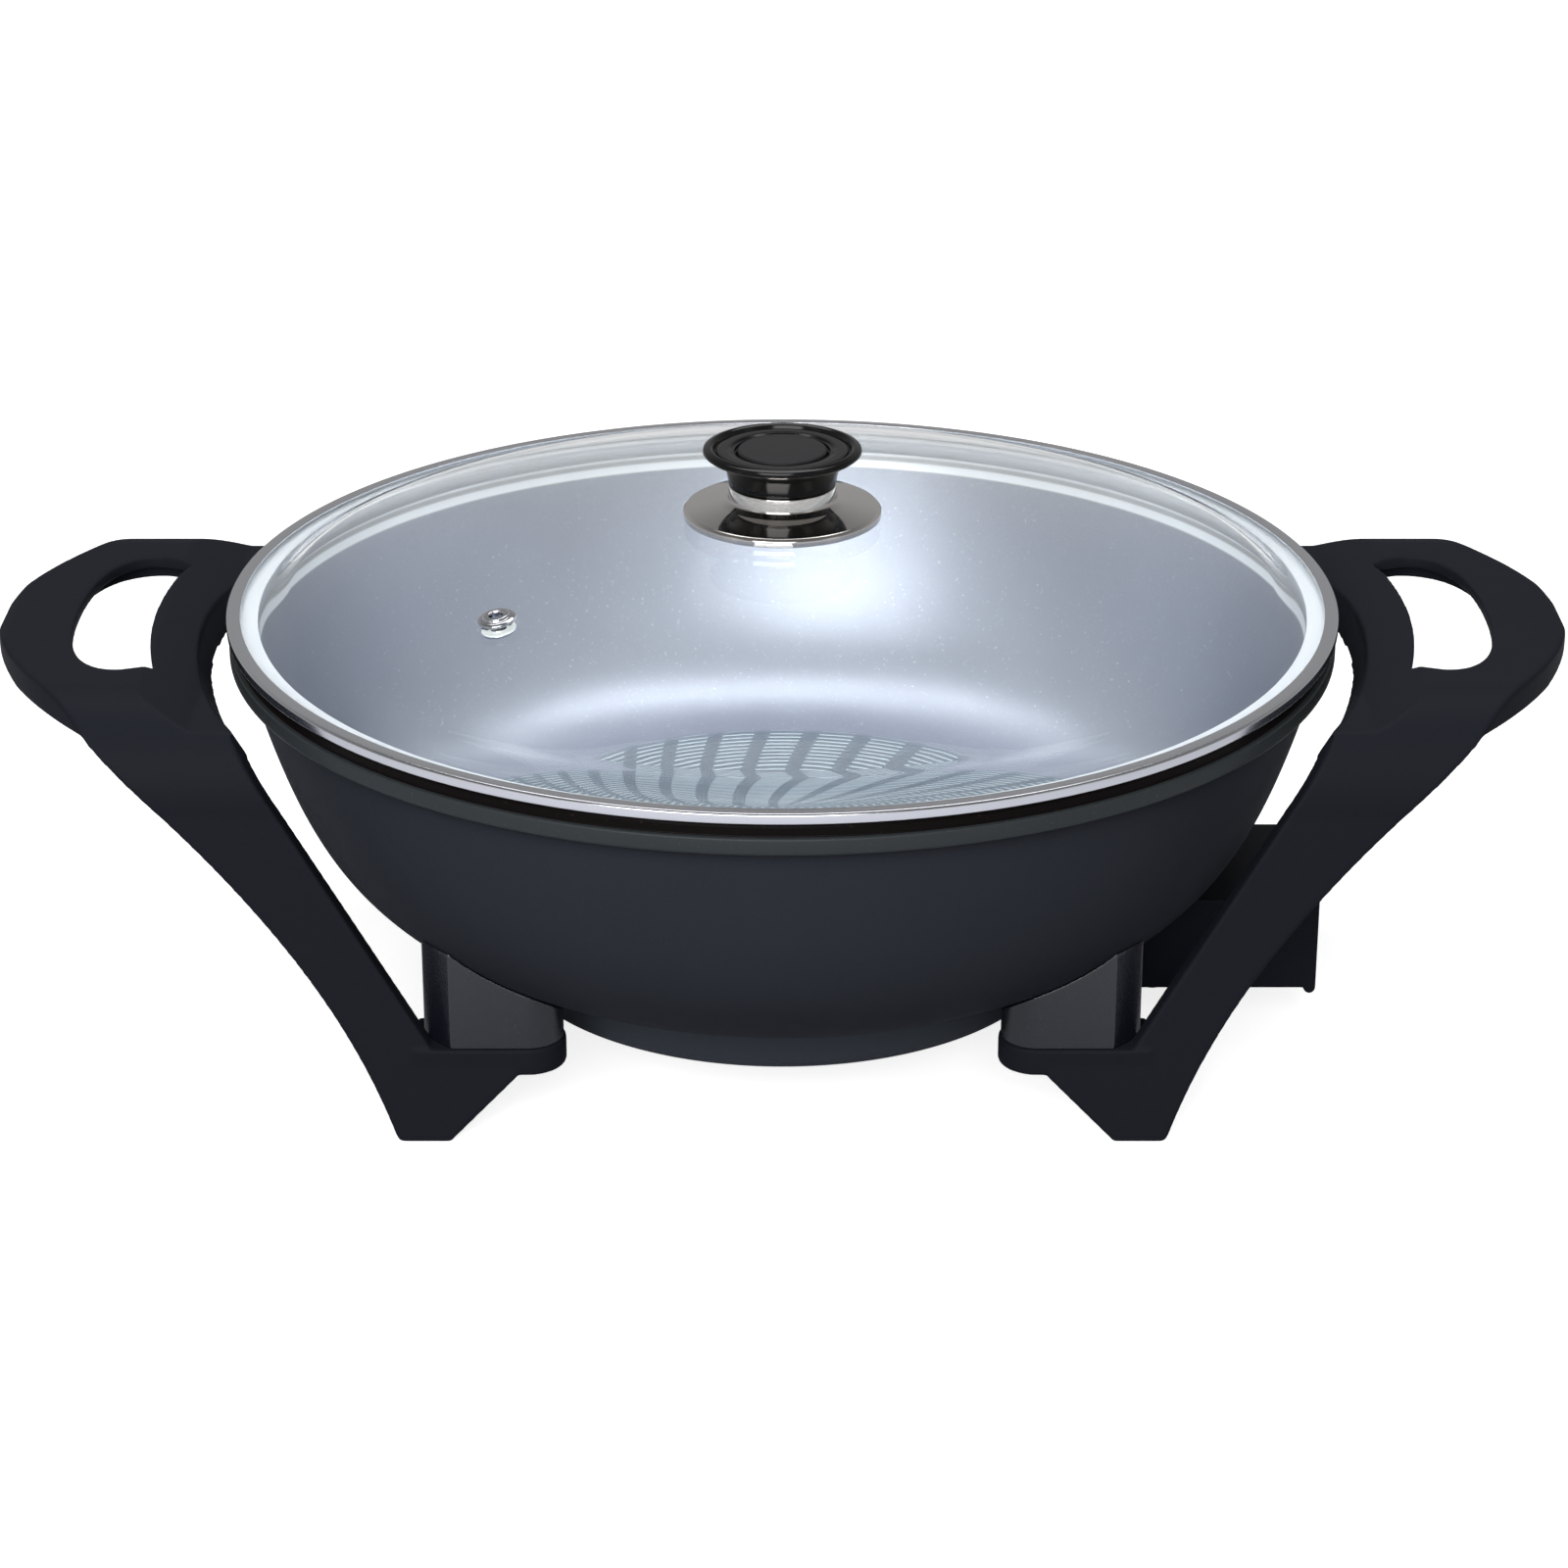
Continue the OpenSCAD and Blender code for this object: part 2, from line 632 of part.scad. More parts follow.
module probe_shroud() {
    lip_r = 2;
    color(bakelite) difference() {
        union() {
            translate([shroud_back_x, -shroud_w / 2, shroud_z])
                cube([shroud_x - shroud_back_x, shroud_w, shroud_h]);
            translate([shroud_x - lip_r, -shroud_w / 2, shroud_z])
                rotate([-90, 0, 0]) cylinder(r = lip_r, h = shroud_w);
        }
        translate([shroud_back_x + shroud_t, -shroud_w / 2 + shroud_t, shroud_z + shroud_t])
            cube([shroud_x, shroud_w - 2 * shroud_t, shroud_h - 2 * shroud_t]);
        rotate_extrude() bowl_profile(shroud_gap);
        leads(sheath_r + 0.3, shroud_back_x - shroud_t, shroud_back_x + 2 * shroud_t);
        translate([shroud_back_x - shroud_t, 0, heater_z]) rotate([0, 90, 0])
            cylinder(r = sensor_r + 0.8, h = 3 * shroud_t);
        at_posts() {
            translate([0, 0, shroud_z - shroud_t])
                cylinder(r = shroud_screw_r + 0.2, h = 3 * shroud_t);
            translate([0, 0, post_z]) cylinder(r = post_r + shroud_gap, h = shroud_h);
        }
    }
}

module shroud_screws() {
    head_h = 1.8;
    color(steel) at_posts() {
        translate([0, 0, shroud_z - head_h]) difference() {
            cylinder(r = 2 * shroud_screw_r, h = head_h);
            for (a = [0, 90]) rotate([0, 0, a])
                translate([-2, -0.4, -1]) cube([4, 0.8, 1.8]);
        }
        translate([0, 0, shroud_z - EPS]) cylinder(r = shroud_screw_r, h = 12);
    }
}

// ---- lid ------------------------------------------------------------------

lid_r = pan_r + rim_over;
lid_z = rim_h;
glass_z = lid_z + rim_t;
glass_r = lid_r - rim_t - 0.2;
dome_r = lid_r - 1 - edge_w;
dome_rise = dome_h - edge_rise;
dome_big_r = (dome_r * dome_r + dome_rise * dome_rise) / (2 * dome_rise);
dome_slope = dome_r / (dome_big_r - dome_rise);
apex_z = lid_z + dome_h;

// top face of the glass, from its flat edge in to the dome
edge_curve = [[dome_r + 15, glass_z + glass_t], [dome_r + 8, glass_z + glass_t],
    [dome_r + 6, lid_z + edge_rise - 6 * dome_slope], [dome_r, lid_z + edge_rise]];
function dome_z(r, drop = 0) = apex_z - dome_big_r
    + sqrt(pow(dome_big_r - drop, 2) - r * r);
function dome_points(drop) = [for (i = [1 : STEPS])
    let (r = (dome_r - drop * dome_r / dome_big_r) * (1 - i / STEPS)) [r, dome_z(r, drop)]];

module lid_glass() {
    top = concat([[glass_r, glass_z + glass_t]], bez_points(edge_curve), dome_points(0));
    under = concat([[glass_r, glass_z + 1], [glass_r - 1.2, glass_z]],
        bez_points(edge_curve, glass_t), dome_points(glass_t));
    color(clear_glass) difference() {
        rotate_extrude() polygon(concat(top, reversed(under)));
        translate([0, 0, lid_z]) cylinder(r = knob_screw_r + 1.2, h = 2 * dome_h);
        at_vent() cylinder(r = vent_hole_r + 1.5, h = 4 * glass_t, center = true);
    }
}

module lid_rim() {
    top = glass_z + glass_t + 0.1;
    lip_w = 4.5;
    skirt_out = mouth_r - mouth_play;
    color(steel) rotate_extrude() polygon([
        [skirt_out - rim_t, lid_z - skirt_drop], [skirt_out, lid_z - skirt_drop],
        [skirt_out, lid_z], [lid_r - 1.4, lid_z], [lid_r, lid_z + 1],
        [lid_r, top], [lid_r - 0.6, top + rim_t], [lid_r - lip_w, top + rim_t],
        [lid_r - lip_w, top], [lid_r - rim_t, top], [lid_r - rim_t, glass_z + 0.7],
        [lid_r - 1.6, glass_z - 0.1],
        [skirt_out - rim_t, glass_z - 0.1]]);
}

vent_z = dome_z(vent_r);
vent_tilt = asin(vent_r / dome_big_r);

module at_vent() {
    rotate([0, 0, vent_angle]) translate([vent_r, 0, vent_z])
        rotate([0, vent_tilt, 0]) translate([0, 0, -glass_t / 2]) children();
}

vent_gasket_t = 0.6;
// lets a flat seal lie on the domed glass
dome_play = 0.1;

module vent_eyelet() {
    half = glass_t / 2 + vent_gasket_t;
    sleeve_r = vent_hole_r + 0.8;
    color(steel) at_vent() rotate_extrude() polygon([
        [vent_hole_r, -half - 0.8], [vent_flange_r - 0.6, -half - 0.8],
        [vent_flange_r - 0.6, -half], [sleeve_r, -half], [sleeve_r, half],
        [vent_flange_r, half], [vent_flange_r, half + 0.7],
        [vent_flange_r - 0.6, half + 1.1], [sleeve_r + 1, half + 1.3],
        [sleeve_r + 0.6, half + 1.9], [vent_hole_r + 0.3, half + 1.9],
        [vent_hole_r, half + 1.4]]);
}

module vent_gasket() {
    half = glass_t / 2;
    sleeve_r = vent_hole_r + 0.8;
    color(silicone) at_vent() for (side = [-1, 1])
        translate([0, 0, side < 0 ? -half - vent_gasket_t : half + dome_play]) difference() {
            cylinder(r = vent_flange_r - 0.8, h = vent_gasket_t - dome_play);
            translate([0, 0, -1]) cylinder(r = sleeve_r + FIT, h = 3);
        }
}

// ---- knob stack -----------------------------------------------------------

gasket_t = 1.2;
skirt_gap = 0.4;
skirt_z = dome_z(skirt_r - 0.8) + skirt_gap;
hub_top_z = apex_z + hub_h;
knob_top_z = hub_top_z + knob_h;
insert_r = 5;
insert_h = 8;
screw_end_z = hub_top_z + insert_h - 1;
gasket_r = 12;

module knob_gasket() {
    color(silicone) translate([0, 0, apex_z]) difference() {
        cylinder(r = gasket_r, h = gasket_t);
        translate([0, 0, -1]) cylinder(r = knob_screw_r + 0.3, h = 4);
    }
}

module knob_skirt() {
    t = 0.8;
    hub_r = neck_r - 0.2;
    hub_foot_z = apex_z + 6.2;
    color(steel) rotate_extrude() polygon([
        [skirt_r, skirt_z], [skirt_r, skirt_z + 2], [skirt_r - 0.8, skirt_z + 2.9],
        [hub_r + 2.6, hub_foot_z - 1.4], [hub_r + 0.9, hub_foot_z - 0.6], [hub_r, hub_foot_z + 0.6],
        [hub_r, hub_top_z], [knob_screw_r + 0.3, hub_top_z], [knob_screw_r + 0.3, hub_top_z - t],
        [hub_r - t, hub_top_z - t], [hub_r - t, hub_foot_z], [hub_r + 1, hub_foot_z - 1.6],
        [skirt_r - 1.2, skirt_z + 2], [skirt_r - t, skirt_z + 1.4], [skirt_r - t, skirt_z]]);
    color(steel) translate([0, 0, apex_z + gasket_t]) difference() {
        cylinder(r = gasket_r - 3, h = hub_top_z - t - apex_z - gasket_t + EPS);
        translate([0, 0, -1]) cylinder(r = knob_screw_r + 0.3, h = hub_h + 2);
    }
}

module knob() {
    rim_z = knob_top_z - 1.5;
    groove_z = knob_top_z - 1.6;
    seat_z = knob_top_z - 3;
    color(bakelite) difference() {
        rotate_extrude() polygon(concat(
            [[0, hub_top_z], [neck_r - 1.6, hub_top_z], [neck_r - 0.5, hub_top_z + 0.4],
             [neck_r, hub_top_z + 1.4]],
            bez_points([[neck_r, hub_top_z + 1.6], [neck_r + 0.4, hub_top_z + 5],
                [neck_r + 1.6, rim_z - 3.6], [neck_r + 3.6, rim_z - 2]]),
            [[knob_r - 1.6, rim_z - 1.7], [knob_r - 0.5, rim_z - 1.2], [knob_r, rim_z - 0.2],
             [knob_r - 0.3, rim_z + 0.7], [knob_r - 1.2, rim_z + 1.3], [knob_r - 2.4, knob_top_z],
             [knob_r - 3.4, rim_z + 1.2], [knob_r - 4, groove_z - 0.6],
             [knob_r - 4.7, groove_z + 0.3], [knob_r - 6.5, groove_z + 0.5],
             [cap_r + 2.4, groove_z + 0.5], [cap_r + 1.8, groove_z],
             [cap_r + 1, groove_z - 0.1], [cap_r + 1, seat_z], [0, seat_z]]));
        translate([0, 0, hub_top_z - 1]) cylinder(r = insert_r + FIT, h = insert_h + 1);
    }
}

module knob_cap() {
    seat_z = knob_top_z - 3;
    color(bakelite) rotate_extrude() polygon([[0, seat_z], [cap_r - 0.4, seat_z],
        [cap_r, seat_z + 0.4], [cap_r, knob_top_z - 1.6], [cap_r - 0.5, knob_top_z - 1.1],
        [0, knob_top_z - 1]]);
}

module knob_insert() {
    color(brass) translate([0, 0, hub_top_z]) difference() {
        cylinder(r = insert_r, h = insert_h);
        translate([0, 0, -1]) cylinder(r = knob_screw_r + FIT, h = insert_h);
    }
}

under_z_lid = dome_z(gasket_r, glass_t);
washer_t = 1.2;

module knob_under_gasket() {
    color(silicone) translate([0, 0, under_z_lid - gasket_t]) difference() {
        cylinder(r = gasket_r - 1, h = gasket_t);
        translate([0, 0, -1]) cylinder(r = knob_screw_r + 0.3, h = 4);
    }
}

module knob_washer() {
    color(steel) translate([0, 0, under_z_lid - gasket_t - washer_t]) difference() {
        cylinder(r = gasket_r - 2, h = washer_t);
        translate([0, 0, -1]) cylinder(r = knob_screw_r + 0.3, h = 4);
    }
}

module knob_screw() {
    head_h = 3;
    z = under_z_lid - gasket_t - washer_t;
    color(steel) {
        translate([0, 0, z - head_h]) difference() {
            cylinder(r = 4.5, h = head_h);
            translate([-5, -0.6, -1]) cube([10, 1.2, 2.2]);
        }
        translate([0, 0, z - EPS]) cylinder(r = knob_screw_r, h = screw_end_z - z);
    }
}

// ---- nodes ----------------------------------------------------------------

pan();
heating_element();
terminal_pins();
pin_bushes();
base_cover();
base_screws();
probe_shroud();
shroud_screws();
handle_left();
handle_right();
spacer_front_left();
spacer_front_right();
spacer_rear_left();
spacer_rear_right();
leg_screws();
leg_washers();
lid_glass();
lid_rim();
vent_eyelet();
vent_gasket();
knob();
knob_cap();
knob_insert();
knob_skirt();
knob_gasket();
knob_washer();
knob_under_gasket();
knob_screw();
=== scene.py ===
"""Electric wok: the looks of a cast wok pan on moulded loop handles, with a domed glass lid.

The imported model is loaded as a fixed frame. Each operator below makes one piece or one group
of like pieces around it, in metres, in the frame's own place.
"""

import math

import bmesh
import bpy
from bpy.props import FloatProperty, FloatVectorProperty, IntProperty, PointerProperty
from bpy.types import Operator, Panel, PropertyGroup
from mathutils import Matrix, Vector


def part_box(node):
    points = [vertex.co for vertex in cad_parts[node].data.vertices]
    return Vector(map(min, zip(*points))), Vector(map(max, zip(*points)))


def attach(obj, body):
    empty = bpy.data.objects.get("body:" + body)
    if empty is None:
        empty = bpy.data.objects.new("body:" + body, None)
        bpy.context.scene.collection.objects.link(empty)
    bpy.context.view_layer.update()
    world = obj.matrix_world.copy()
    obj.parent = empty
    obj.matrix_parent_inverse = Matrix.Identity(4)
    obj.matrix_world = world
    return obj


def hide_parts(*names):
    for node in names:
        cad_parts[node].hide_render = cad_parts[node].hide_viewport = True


bl_info = {
    "name": "Electric Wok",
    "version": (1, 0, 0),
    "blender": (4, 5, 0),
    "location": "View3D > Sidebar > Wok",
    "description": "Builds the pan, handles, probe socket and glass lid of an electric wok",
    "category": "Add Mesh",
}

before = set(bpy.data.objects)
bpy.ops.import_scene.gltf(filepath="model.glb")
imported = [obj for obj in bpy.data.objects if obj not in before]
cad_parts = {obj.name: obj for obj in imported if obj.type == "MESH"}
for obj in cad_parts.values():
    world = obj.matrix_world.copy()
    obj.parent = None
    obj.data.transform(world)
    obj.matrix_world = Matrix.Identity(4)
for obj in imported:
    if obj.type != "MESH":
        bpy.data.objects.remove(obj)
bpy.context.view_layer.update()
COVER_LOW, COVER_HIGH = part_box("base_cover")
KNOB_LOW, KNOB_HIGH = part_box("knob")
MM = 0.001
WELD = 1e-6  # metres within which points count as one


# ---- outlines ---------------------------------------------------------------


def bezier(a, b, c, d, steps):
    """Points of a cubic curve through a and d, in order, with both ends."""
    out = []
    for i in range(steps + 1):
        t = i / steps
        k = ((1 - t) ** 3, 3 * (1 - t) ** 2 * t, 3 * (1 - t) * t * t, t**3)
        out.append(tuple(sum(w * p[j] for w, p in zip(k, (a, b, c, d))) for j in (0, 1)))
    return out


def softened(outline, steps=4):
    """A closed outline of (r, z) or (r, z, fillet) points, with each fillet drawn as an arc."""
    out = []
    n = len(outline)
    most = 0.45  # share of a side that a fillet may take up
    for i, p in enumerate(outline):
        fillet = p[2] if len(p) > 2 else 0.0
        here = Vector(p[:2])
        to_last = Vector(outline[i - 1][:2]) - here
        to_next = Vector(outline[(i + 1) % n][:2]) - here
        if fillet <= 0 or to_last.length < 1e-6 or to_next.length < 1e-6:
            out.append(tuple(here))
            continue
        angle = to_last.angle(to_next)
        back = min(fillet / math.tan(angle / 2), most * to_last.length, most * to_next.length)
        start = here + to_last.normalized() * back
        end = here + to_next.normalized() * back
        for k in range(steps + 1):
            t = k / steps
            out.append(tuple((1 - t) ** 2 * start + 2 * (1 - t) * t * here + t * t * end))
    return out


# ---- node trees -------------------------------------------------------------


def fill(node, **values):
    """Sets inputs of a node by their names, to plain numbers or colours."""
    for key, value in values.items():
        socket = node.inputs[key.replace("_", " ")]
        socket.default_value = value if isinstance(value, (int, float)) else (*value[:3], 1.0)


def calc(tree, operation, a, b=None, c=None, clamp=False):
    """A Math node; each input is an output socket or a plain number."""
    node = tree.nodes.new("ShaderNodeMath")
    node.operation = operation
    node.use_clamp = clamp
    for i, value in enumerate((a, b, c)):
        if value is None:
            continue
        if isinstance(value, (int, float)):
            node.inputs[i].default_value = value
        else:
            tree.links.new(value, node.inputs[i])
    return node.outputs[0]


def ramp(tree, value, low, high, start=0.0, end=1.0):
    """A smooth step of a value from low to high, put out as start to end."""
    node = tree.nodes.new("ShaderNodeMapRange")
    node.interpolation_type = "SMOOTHSTEP"
    tree.links.new(value, node.inputs["Value"])
    fill(node, From_Min=low, From_Max=high, To_Min=start, To_Max=end)
    return node.outputs["Result"]


def blend_colours(tree, factor, a, b):
    """A Mix node for colours; the factor is an output socket, a and b are sockets or colours."""
    node = tree.nodes.new("ShaderNodeMix")
    node.data_type = "RGBA"
    for socket, value in ((node.inputs[0], factor), (node.inputs[6], a), (node.inputs[7], b)):
        if isinstance(value, bpy.types.NodeSocket):
            tree.links.new(value, socket)
        else:
            socket.default_value = (*value[:3], 1.0)
    return node.outputs[2]


def parted(tree, vector):
    """The x, y and z sockets of a vector socket."""
    split = tree.nodes.new("ShaderNodeSeparateXYZ")
    tree.links.new(vector, split.inputs[0])
    return split.outputs


def radius_of(tree, x, y):
    """The distance from the Z axis, from an x and a y socket."""
    square = calc(tree, "ADD", calc(tree, "MULTIPLY", x, x), calc(tree, "MULTIPLY", y, y))
    return calc(tree, "SQRT", square)


def turned_tree():
    """Geometry Nodes: a wire outline in the XZ plane, turned once round the Z axis."""
    if "Turned piece" in bpy.data.node_groups:
        return bpy.data.node_groups["Turned piece"]
    tree = bpy.data.node_groups.new("Turned piece", "GeometryNodeTree")
    tree.is_modifier = True
    face = tree.interface
    face.new_socket("Outline", in_out="INPUT", socket_type="NodeSocketGeometry")
    segments = face.new_socket("Segments", in_out="INPUT", socket_type="NodeSocketInt")
    segments.default_value, segments.min_value = 256, 12
    weld = face.new_socket("Weld distance", in_out="INPUT", socket_type="NodeSocketFloat")
    weld.default_value, weld.subtype = WELD, "DISTANCE"
    face.new_socket("Material", in_out="INPUT", socket_type="NodeSocketMaterial")
    face.new_socket("Piece", in_out="OUTPUT", socket_type="NodeSocketGeometry")
    nodes, links = tree.nodes, tree.links
    given = nodes.new("NodeGroupInput")
    put = nodes.new("NodeGroupOutput")
    rail_r = 0.1
    place = parted(tree, nodes.new("GeometryNodeInputPosition").outputs[0])
    flat = nodes.new("ShaderNodeCombineXYZ")
    links.new(calc(tree, "SUBTRACT", place[0], rail_r), flat.inputs[0])
    links.new(calc(tree, "MULTIPLY", place[2], -1.0), flat.inputs[1])
    laid = nodes.new("GeometryNodeSetPosition")
    links.new(given.outputs["Outline"], laid.inputs["Geometry"])
    links.new(flat.outputs[0], laid.inputs["Position"])
    profile = nodes.new("GeometryNodeMeshToCurve")
    links.new(laid.outputs[0], profile.inputs[0])
    rail = nodes.new("GeometryNodeCurvePrimitiveCircle")
    rail.inputs["Radius"].default_value = rail_r
    links.new(given.outputs["Segments"], rail.inputs["Resolution"])
    upright = nodes.new("GeometryNodeSetCurveNormal")
    upright.mode = "Z_UP"
    links.new(rail.outputs[0], upright.inputs["Curve"])
    turned = nodes.new("GeometryNodeCurveToMesh")
    links.new(upright.outputs[0], turned.inputs["Curve"])
    links.new(profile.outputs[0], turned.inputs["Profile Curve"])
    welded = nodes.new("GeometryNodeMergeByDistance")
    links.new(turned.outputs[0], welded.inputs["Geometry"])
    links.new(given.outputs["Weld distance"], welded.inputs["Distance"])
    smooth = nodes.new("GeometryNodeSetShadeSmooth")
    links.new(welded.outputs[0], smooth.inputs[0])
    real = nodes.new("GeometryNodeRealizeInstances")
    links.new(smooth.outputs[0], real.inputs[0])
    dressed = nodes.new("GeometryNodeSetMaterial")
    links.new(real.outputs[0], dressed.inputs["Geometry"])
    links.new(given.outputs["Material"], dressed.inputs["Material"])
    links.new(dressed.outputs[0], put.inputs[0])
    return tree


# ---- meshes -----------------------------------------------------------------


def linked(name, mesh):
    """A new object of a mesh, in the scene."""
    obj = bpy.data.objects.new(name, mesh)
    bpy.context.scene.collection.objects.link(obj)
    return obj


def plain(obj):
    """Turns what the object's modifiers make of it into its own plain mesh."""
    bpy.context.view_layer.update()
    evaluated = obj.evaluated_get(bpy.context.evaluated_depsgraph_get())
    mesh = bpy.data.meshes.new_from_object(evaluated)
    obj.modifiers.clear()
    old = obj.data
    obj.data = mesh
    mesh.name = obj.name
    bpy.data.meshes.remove(old)


def outward(obj):
    """Welds doubles and points every face outwards."""
    bm = bmesh.new()
    bm.from_mesh(obj.data)
    bmesh.ops.remove_doubles(bm, verts=bm.verts, dist=WELD)
    bmesh.ops.recalc_face_normals(bm, faces=bm.faces)
    bm.to_mesh(obj.data)
    bm.free()
    return obj


def turned(name, outline, material, segments):
    """A closed (r, z) outline in millimetres, turned round the Z axis by Geometry Nodes."""
    points = [(r * MM, 0.0, z * MM) for r, z in outline]
    mesh = bpy.data.meshes.new(name)
    mesh.from_pydata(points, [(i, (i + 1) % len(points)) for i in range(len(points))], [])
    obj = linked(name, mesh)
    tree = turned_tree()
    modifier = obj.modifiers.new("Turned piece", "NODES")
    modifier.node_group = tree
    for item in tree.interface.items_tree:
        if item.in_out == "INPUT" and item.name == "Segments":
            modifier[item.identifier] = segments
        if item.in_out == "INPUT" and item.name == "Material":
            modifier[item.identifier] = material
    plain(obj)
    return outward(obj)


def zoned(obj, materials, rule):
    """Gives each face the material whose number the rule returns for its r, z and normal."""
    obj.data.materials.clear()
    for material in materials:
        obj.data.materials.append(material)
    for face in obj.data.polygons:
        r = math.hypot(face.center.x, face.center.y)
        out = Vector((face.center.x, face.center.y)) / max(r, 1e-9)
        n_r = face.normal.x * out.x + face.normal.y * out.y
        face.material_index = rule(r / MM, face.center.z / MM, n_r, face.normal.z)


def moulded(node, name, material, depth, passes, kept):
    """A CAD node's shape as one moulding of small facets, with its edges rounded over.

    The shape is halved depth times into facets, smoothed in so many passes, and then
    thinned until the kept share of its facets is left.
    """
    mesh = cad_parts[node].data.copy()
    obj = linked(name, mesh)
    outward(obj)
    skin = obj.modifiers.new("Skin", "REMESH")
    skin.mode, skin.octree_depth, skin.scale = "SHARP", depth, 0.9
    skin.sharpness, skin.use_remove_disconnected, skin.use_smooth_shade = 1.0, False, True
    soft = obj.modifiers.new("Rounding", "SMOOTH")
    soft.factor, soft.iterations = 0.5, passes
    thinned = obj.modifiers.new("Thinning", "DECIMATE")
    thinned.ratio = kept
    plain(obj)
    obj.data.materials.clear()
    obj.data.materials.append(material)
    return smooth(obj)


def smooth(obj):
    """Shades a piece smooth."""
    obj.data.polygons.foreach_set("use_smooth", [True] * len(obj.data.polygons))
    obj.data.update()
    return obj


def mirrored(obj, name):
    """The same mesh on the other side of the YZ plane."""
    mesh = obj.data.copy()
    mesh.name = name
    bm = bmesh.new()
    bm.from_mesh(mesh)
    bmesh.ops.scale(bm, vec=(-1, 1, 1), verts=bm.verts)
    bmesh.ops.reverse_faces(bm, faces=bm.faces)
    bm.to_mesh(mesh)
    bm.free()
    return linked(name, mesh)


def settle(obj, body, slot, *nodes):
    """Hands a finished piece to the frame."""
    if nodes:
        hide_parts(*nodes)
    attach(obj, body)


# ---- shader groups ----------------------------------------------------------


VALUE, VECTOR, COLOUR = "NodeSocketFloat", "NodeSocketVector", "NodeSocketColor"


def shader_group(name, inputs, outputs):
    """An empty shader group with sockets; returns it with its input and output nodes."""
    group = bpy.data.node_groups.new(name, "ShaderNodeTree")
    for label, kind, value in inputs:
        socket = group.interface.new_socket(label, in_out="INPUT", socket_type=kind)
        if value is not None:
            socket.default_value = value
    for label, kind in outputs:
        group.interface.new_socket(label, in_out="OUTPUT", socket_type=kind)
    return group, group.nodes.new("NodeGroupInput"), group.nodes.new("NodeGroupOutput")


def noise(tree, vector, scale, detail, roughness):
    """A Noise node's value; the scale is an output socket or a plain number."""
    node = tree.nodes.new("ShaderNodeTexNoise")
    tree.links.new(vector, node.inputs["Vector"])
    if isinstance(scale, (int, float)):
        fill(node, Scale=scale)
    else:
        tree.links.new(scale, node.inputs["Scale"])
    fill(node, Detail=detail, Roughness=roughness)
    return node.outputs["Fac"]


def moulded_grain():
    """Fine grain of a moulded face: a height, and a roughness that wanders a little."""
    if "Moulded grain" in bpy.data.node_groups:
        return bpy.data.node_groups["Moulded grain"]
    group, given, put = shader_group(
        "Moulded grain",
        [("Vector", VECTOR, None), ("Grain per metre", VALUE, 1800.0),
         ("Roughness", VALUE, 0.45), ("Wander", VALUE, 0.08)],
        [("Height", VALUE), ("Roughness", VALUE)])
    fine = noise(group, given.outputs["Vector"], given.outputs["Grain per metre"], 3.0, 0.6)
    broad = noise(group, given.outputs["Vector"], 40.0, 3.0, 0.55)
    group.links.new(fine, put.inputs["Height"])
    swing = calc(group, "MULTIPLY", calc(group, "SUBTRACT", broad, 0.5), given.outputs["Wander"])
    grit = calc(group, "MULTIPLY", calc(group, "SUBTRACT", fine, 0.5), 0.06)
    rough = calc(group, "ADD", calc(group, "ADD", given.outputs["Roughness"], swing), grit, clamp=True)
    group.links.new(rough, put.inputs["Roughness"])
    return group


def fleck_coating():
    """A coating with fine light flecks and soft clouds of shade."""
    if "Fleck coating" in bpy.data.node_groups:
        return bpy.data.node_groups["Fleck coating"]
    group, given, put = shader_group(
        "Fleck coating",
        [("Vector", VECTOR, None), ("Ground", COLOUR, (0.03, 0.03, 0.035, 1)),
         ("Fleck", COLOUR, (0.12, 0.12, 0.13, 1)),
         ("Flecks per metre", VALUE, 900.0), ("Cover", VALUE, 0.62),
         ("Cloud", VALUE, 0.15)],
        [("Color", COLOUR), ("Height", VALUE)])
    grain = noise(group, given.outputs["Vector"], given.outputs["Flecks per metre"], 2.0, 0.6)
    mask = group.nodes.new("ShaderNodeMapRange")
    group.links.new(grain, mask.inputs["Value"])
    group.links.new(given.outputs["Cover"], mask.inputs["From Min"])
    edge = 0.1
    group.links.new(calc(group, "ADD", given.outputs["Cover"], edge), mask.inputs["From Max"])
    cloud = noise(group, given.outputs["Vector"], 22.0, 3.0, 0.55)
    shade = calc(group, "MULTIPLY_ADD", calc(group, "SUBTRACT", cloud, 0.5),
                 given.outputs["Cloud"], 1.0)
    tinted = group.nodes.new("ShaderNodeVectorMath")
    tinted.operation = "SCALE"
    group.links.new(given.outputs["Ground"], tinted.inputs[0])
    group.links.new(shade, tinted.inputs["Scale"])
    colour = blend_colours(group, mask.outputs["Result"], tinted.outputs[0], given.outputs["Fleck"])
    group.links.new(colour, put.inputs["Color"])
    group.links.new(grain, put.inputs["Height"])
    return group


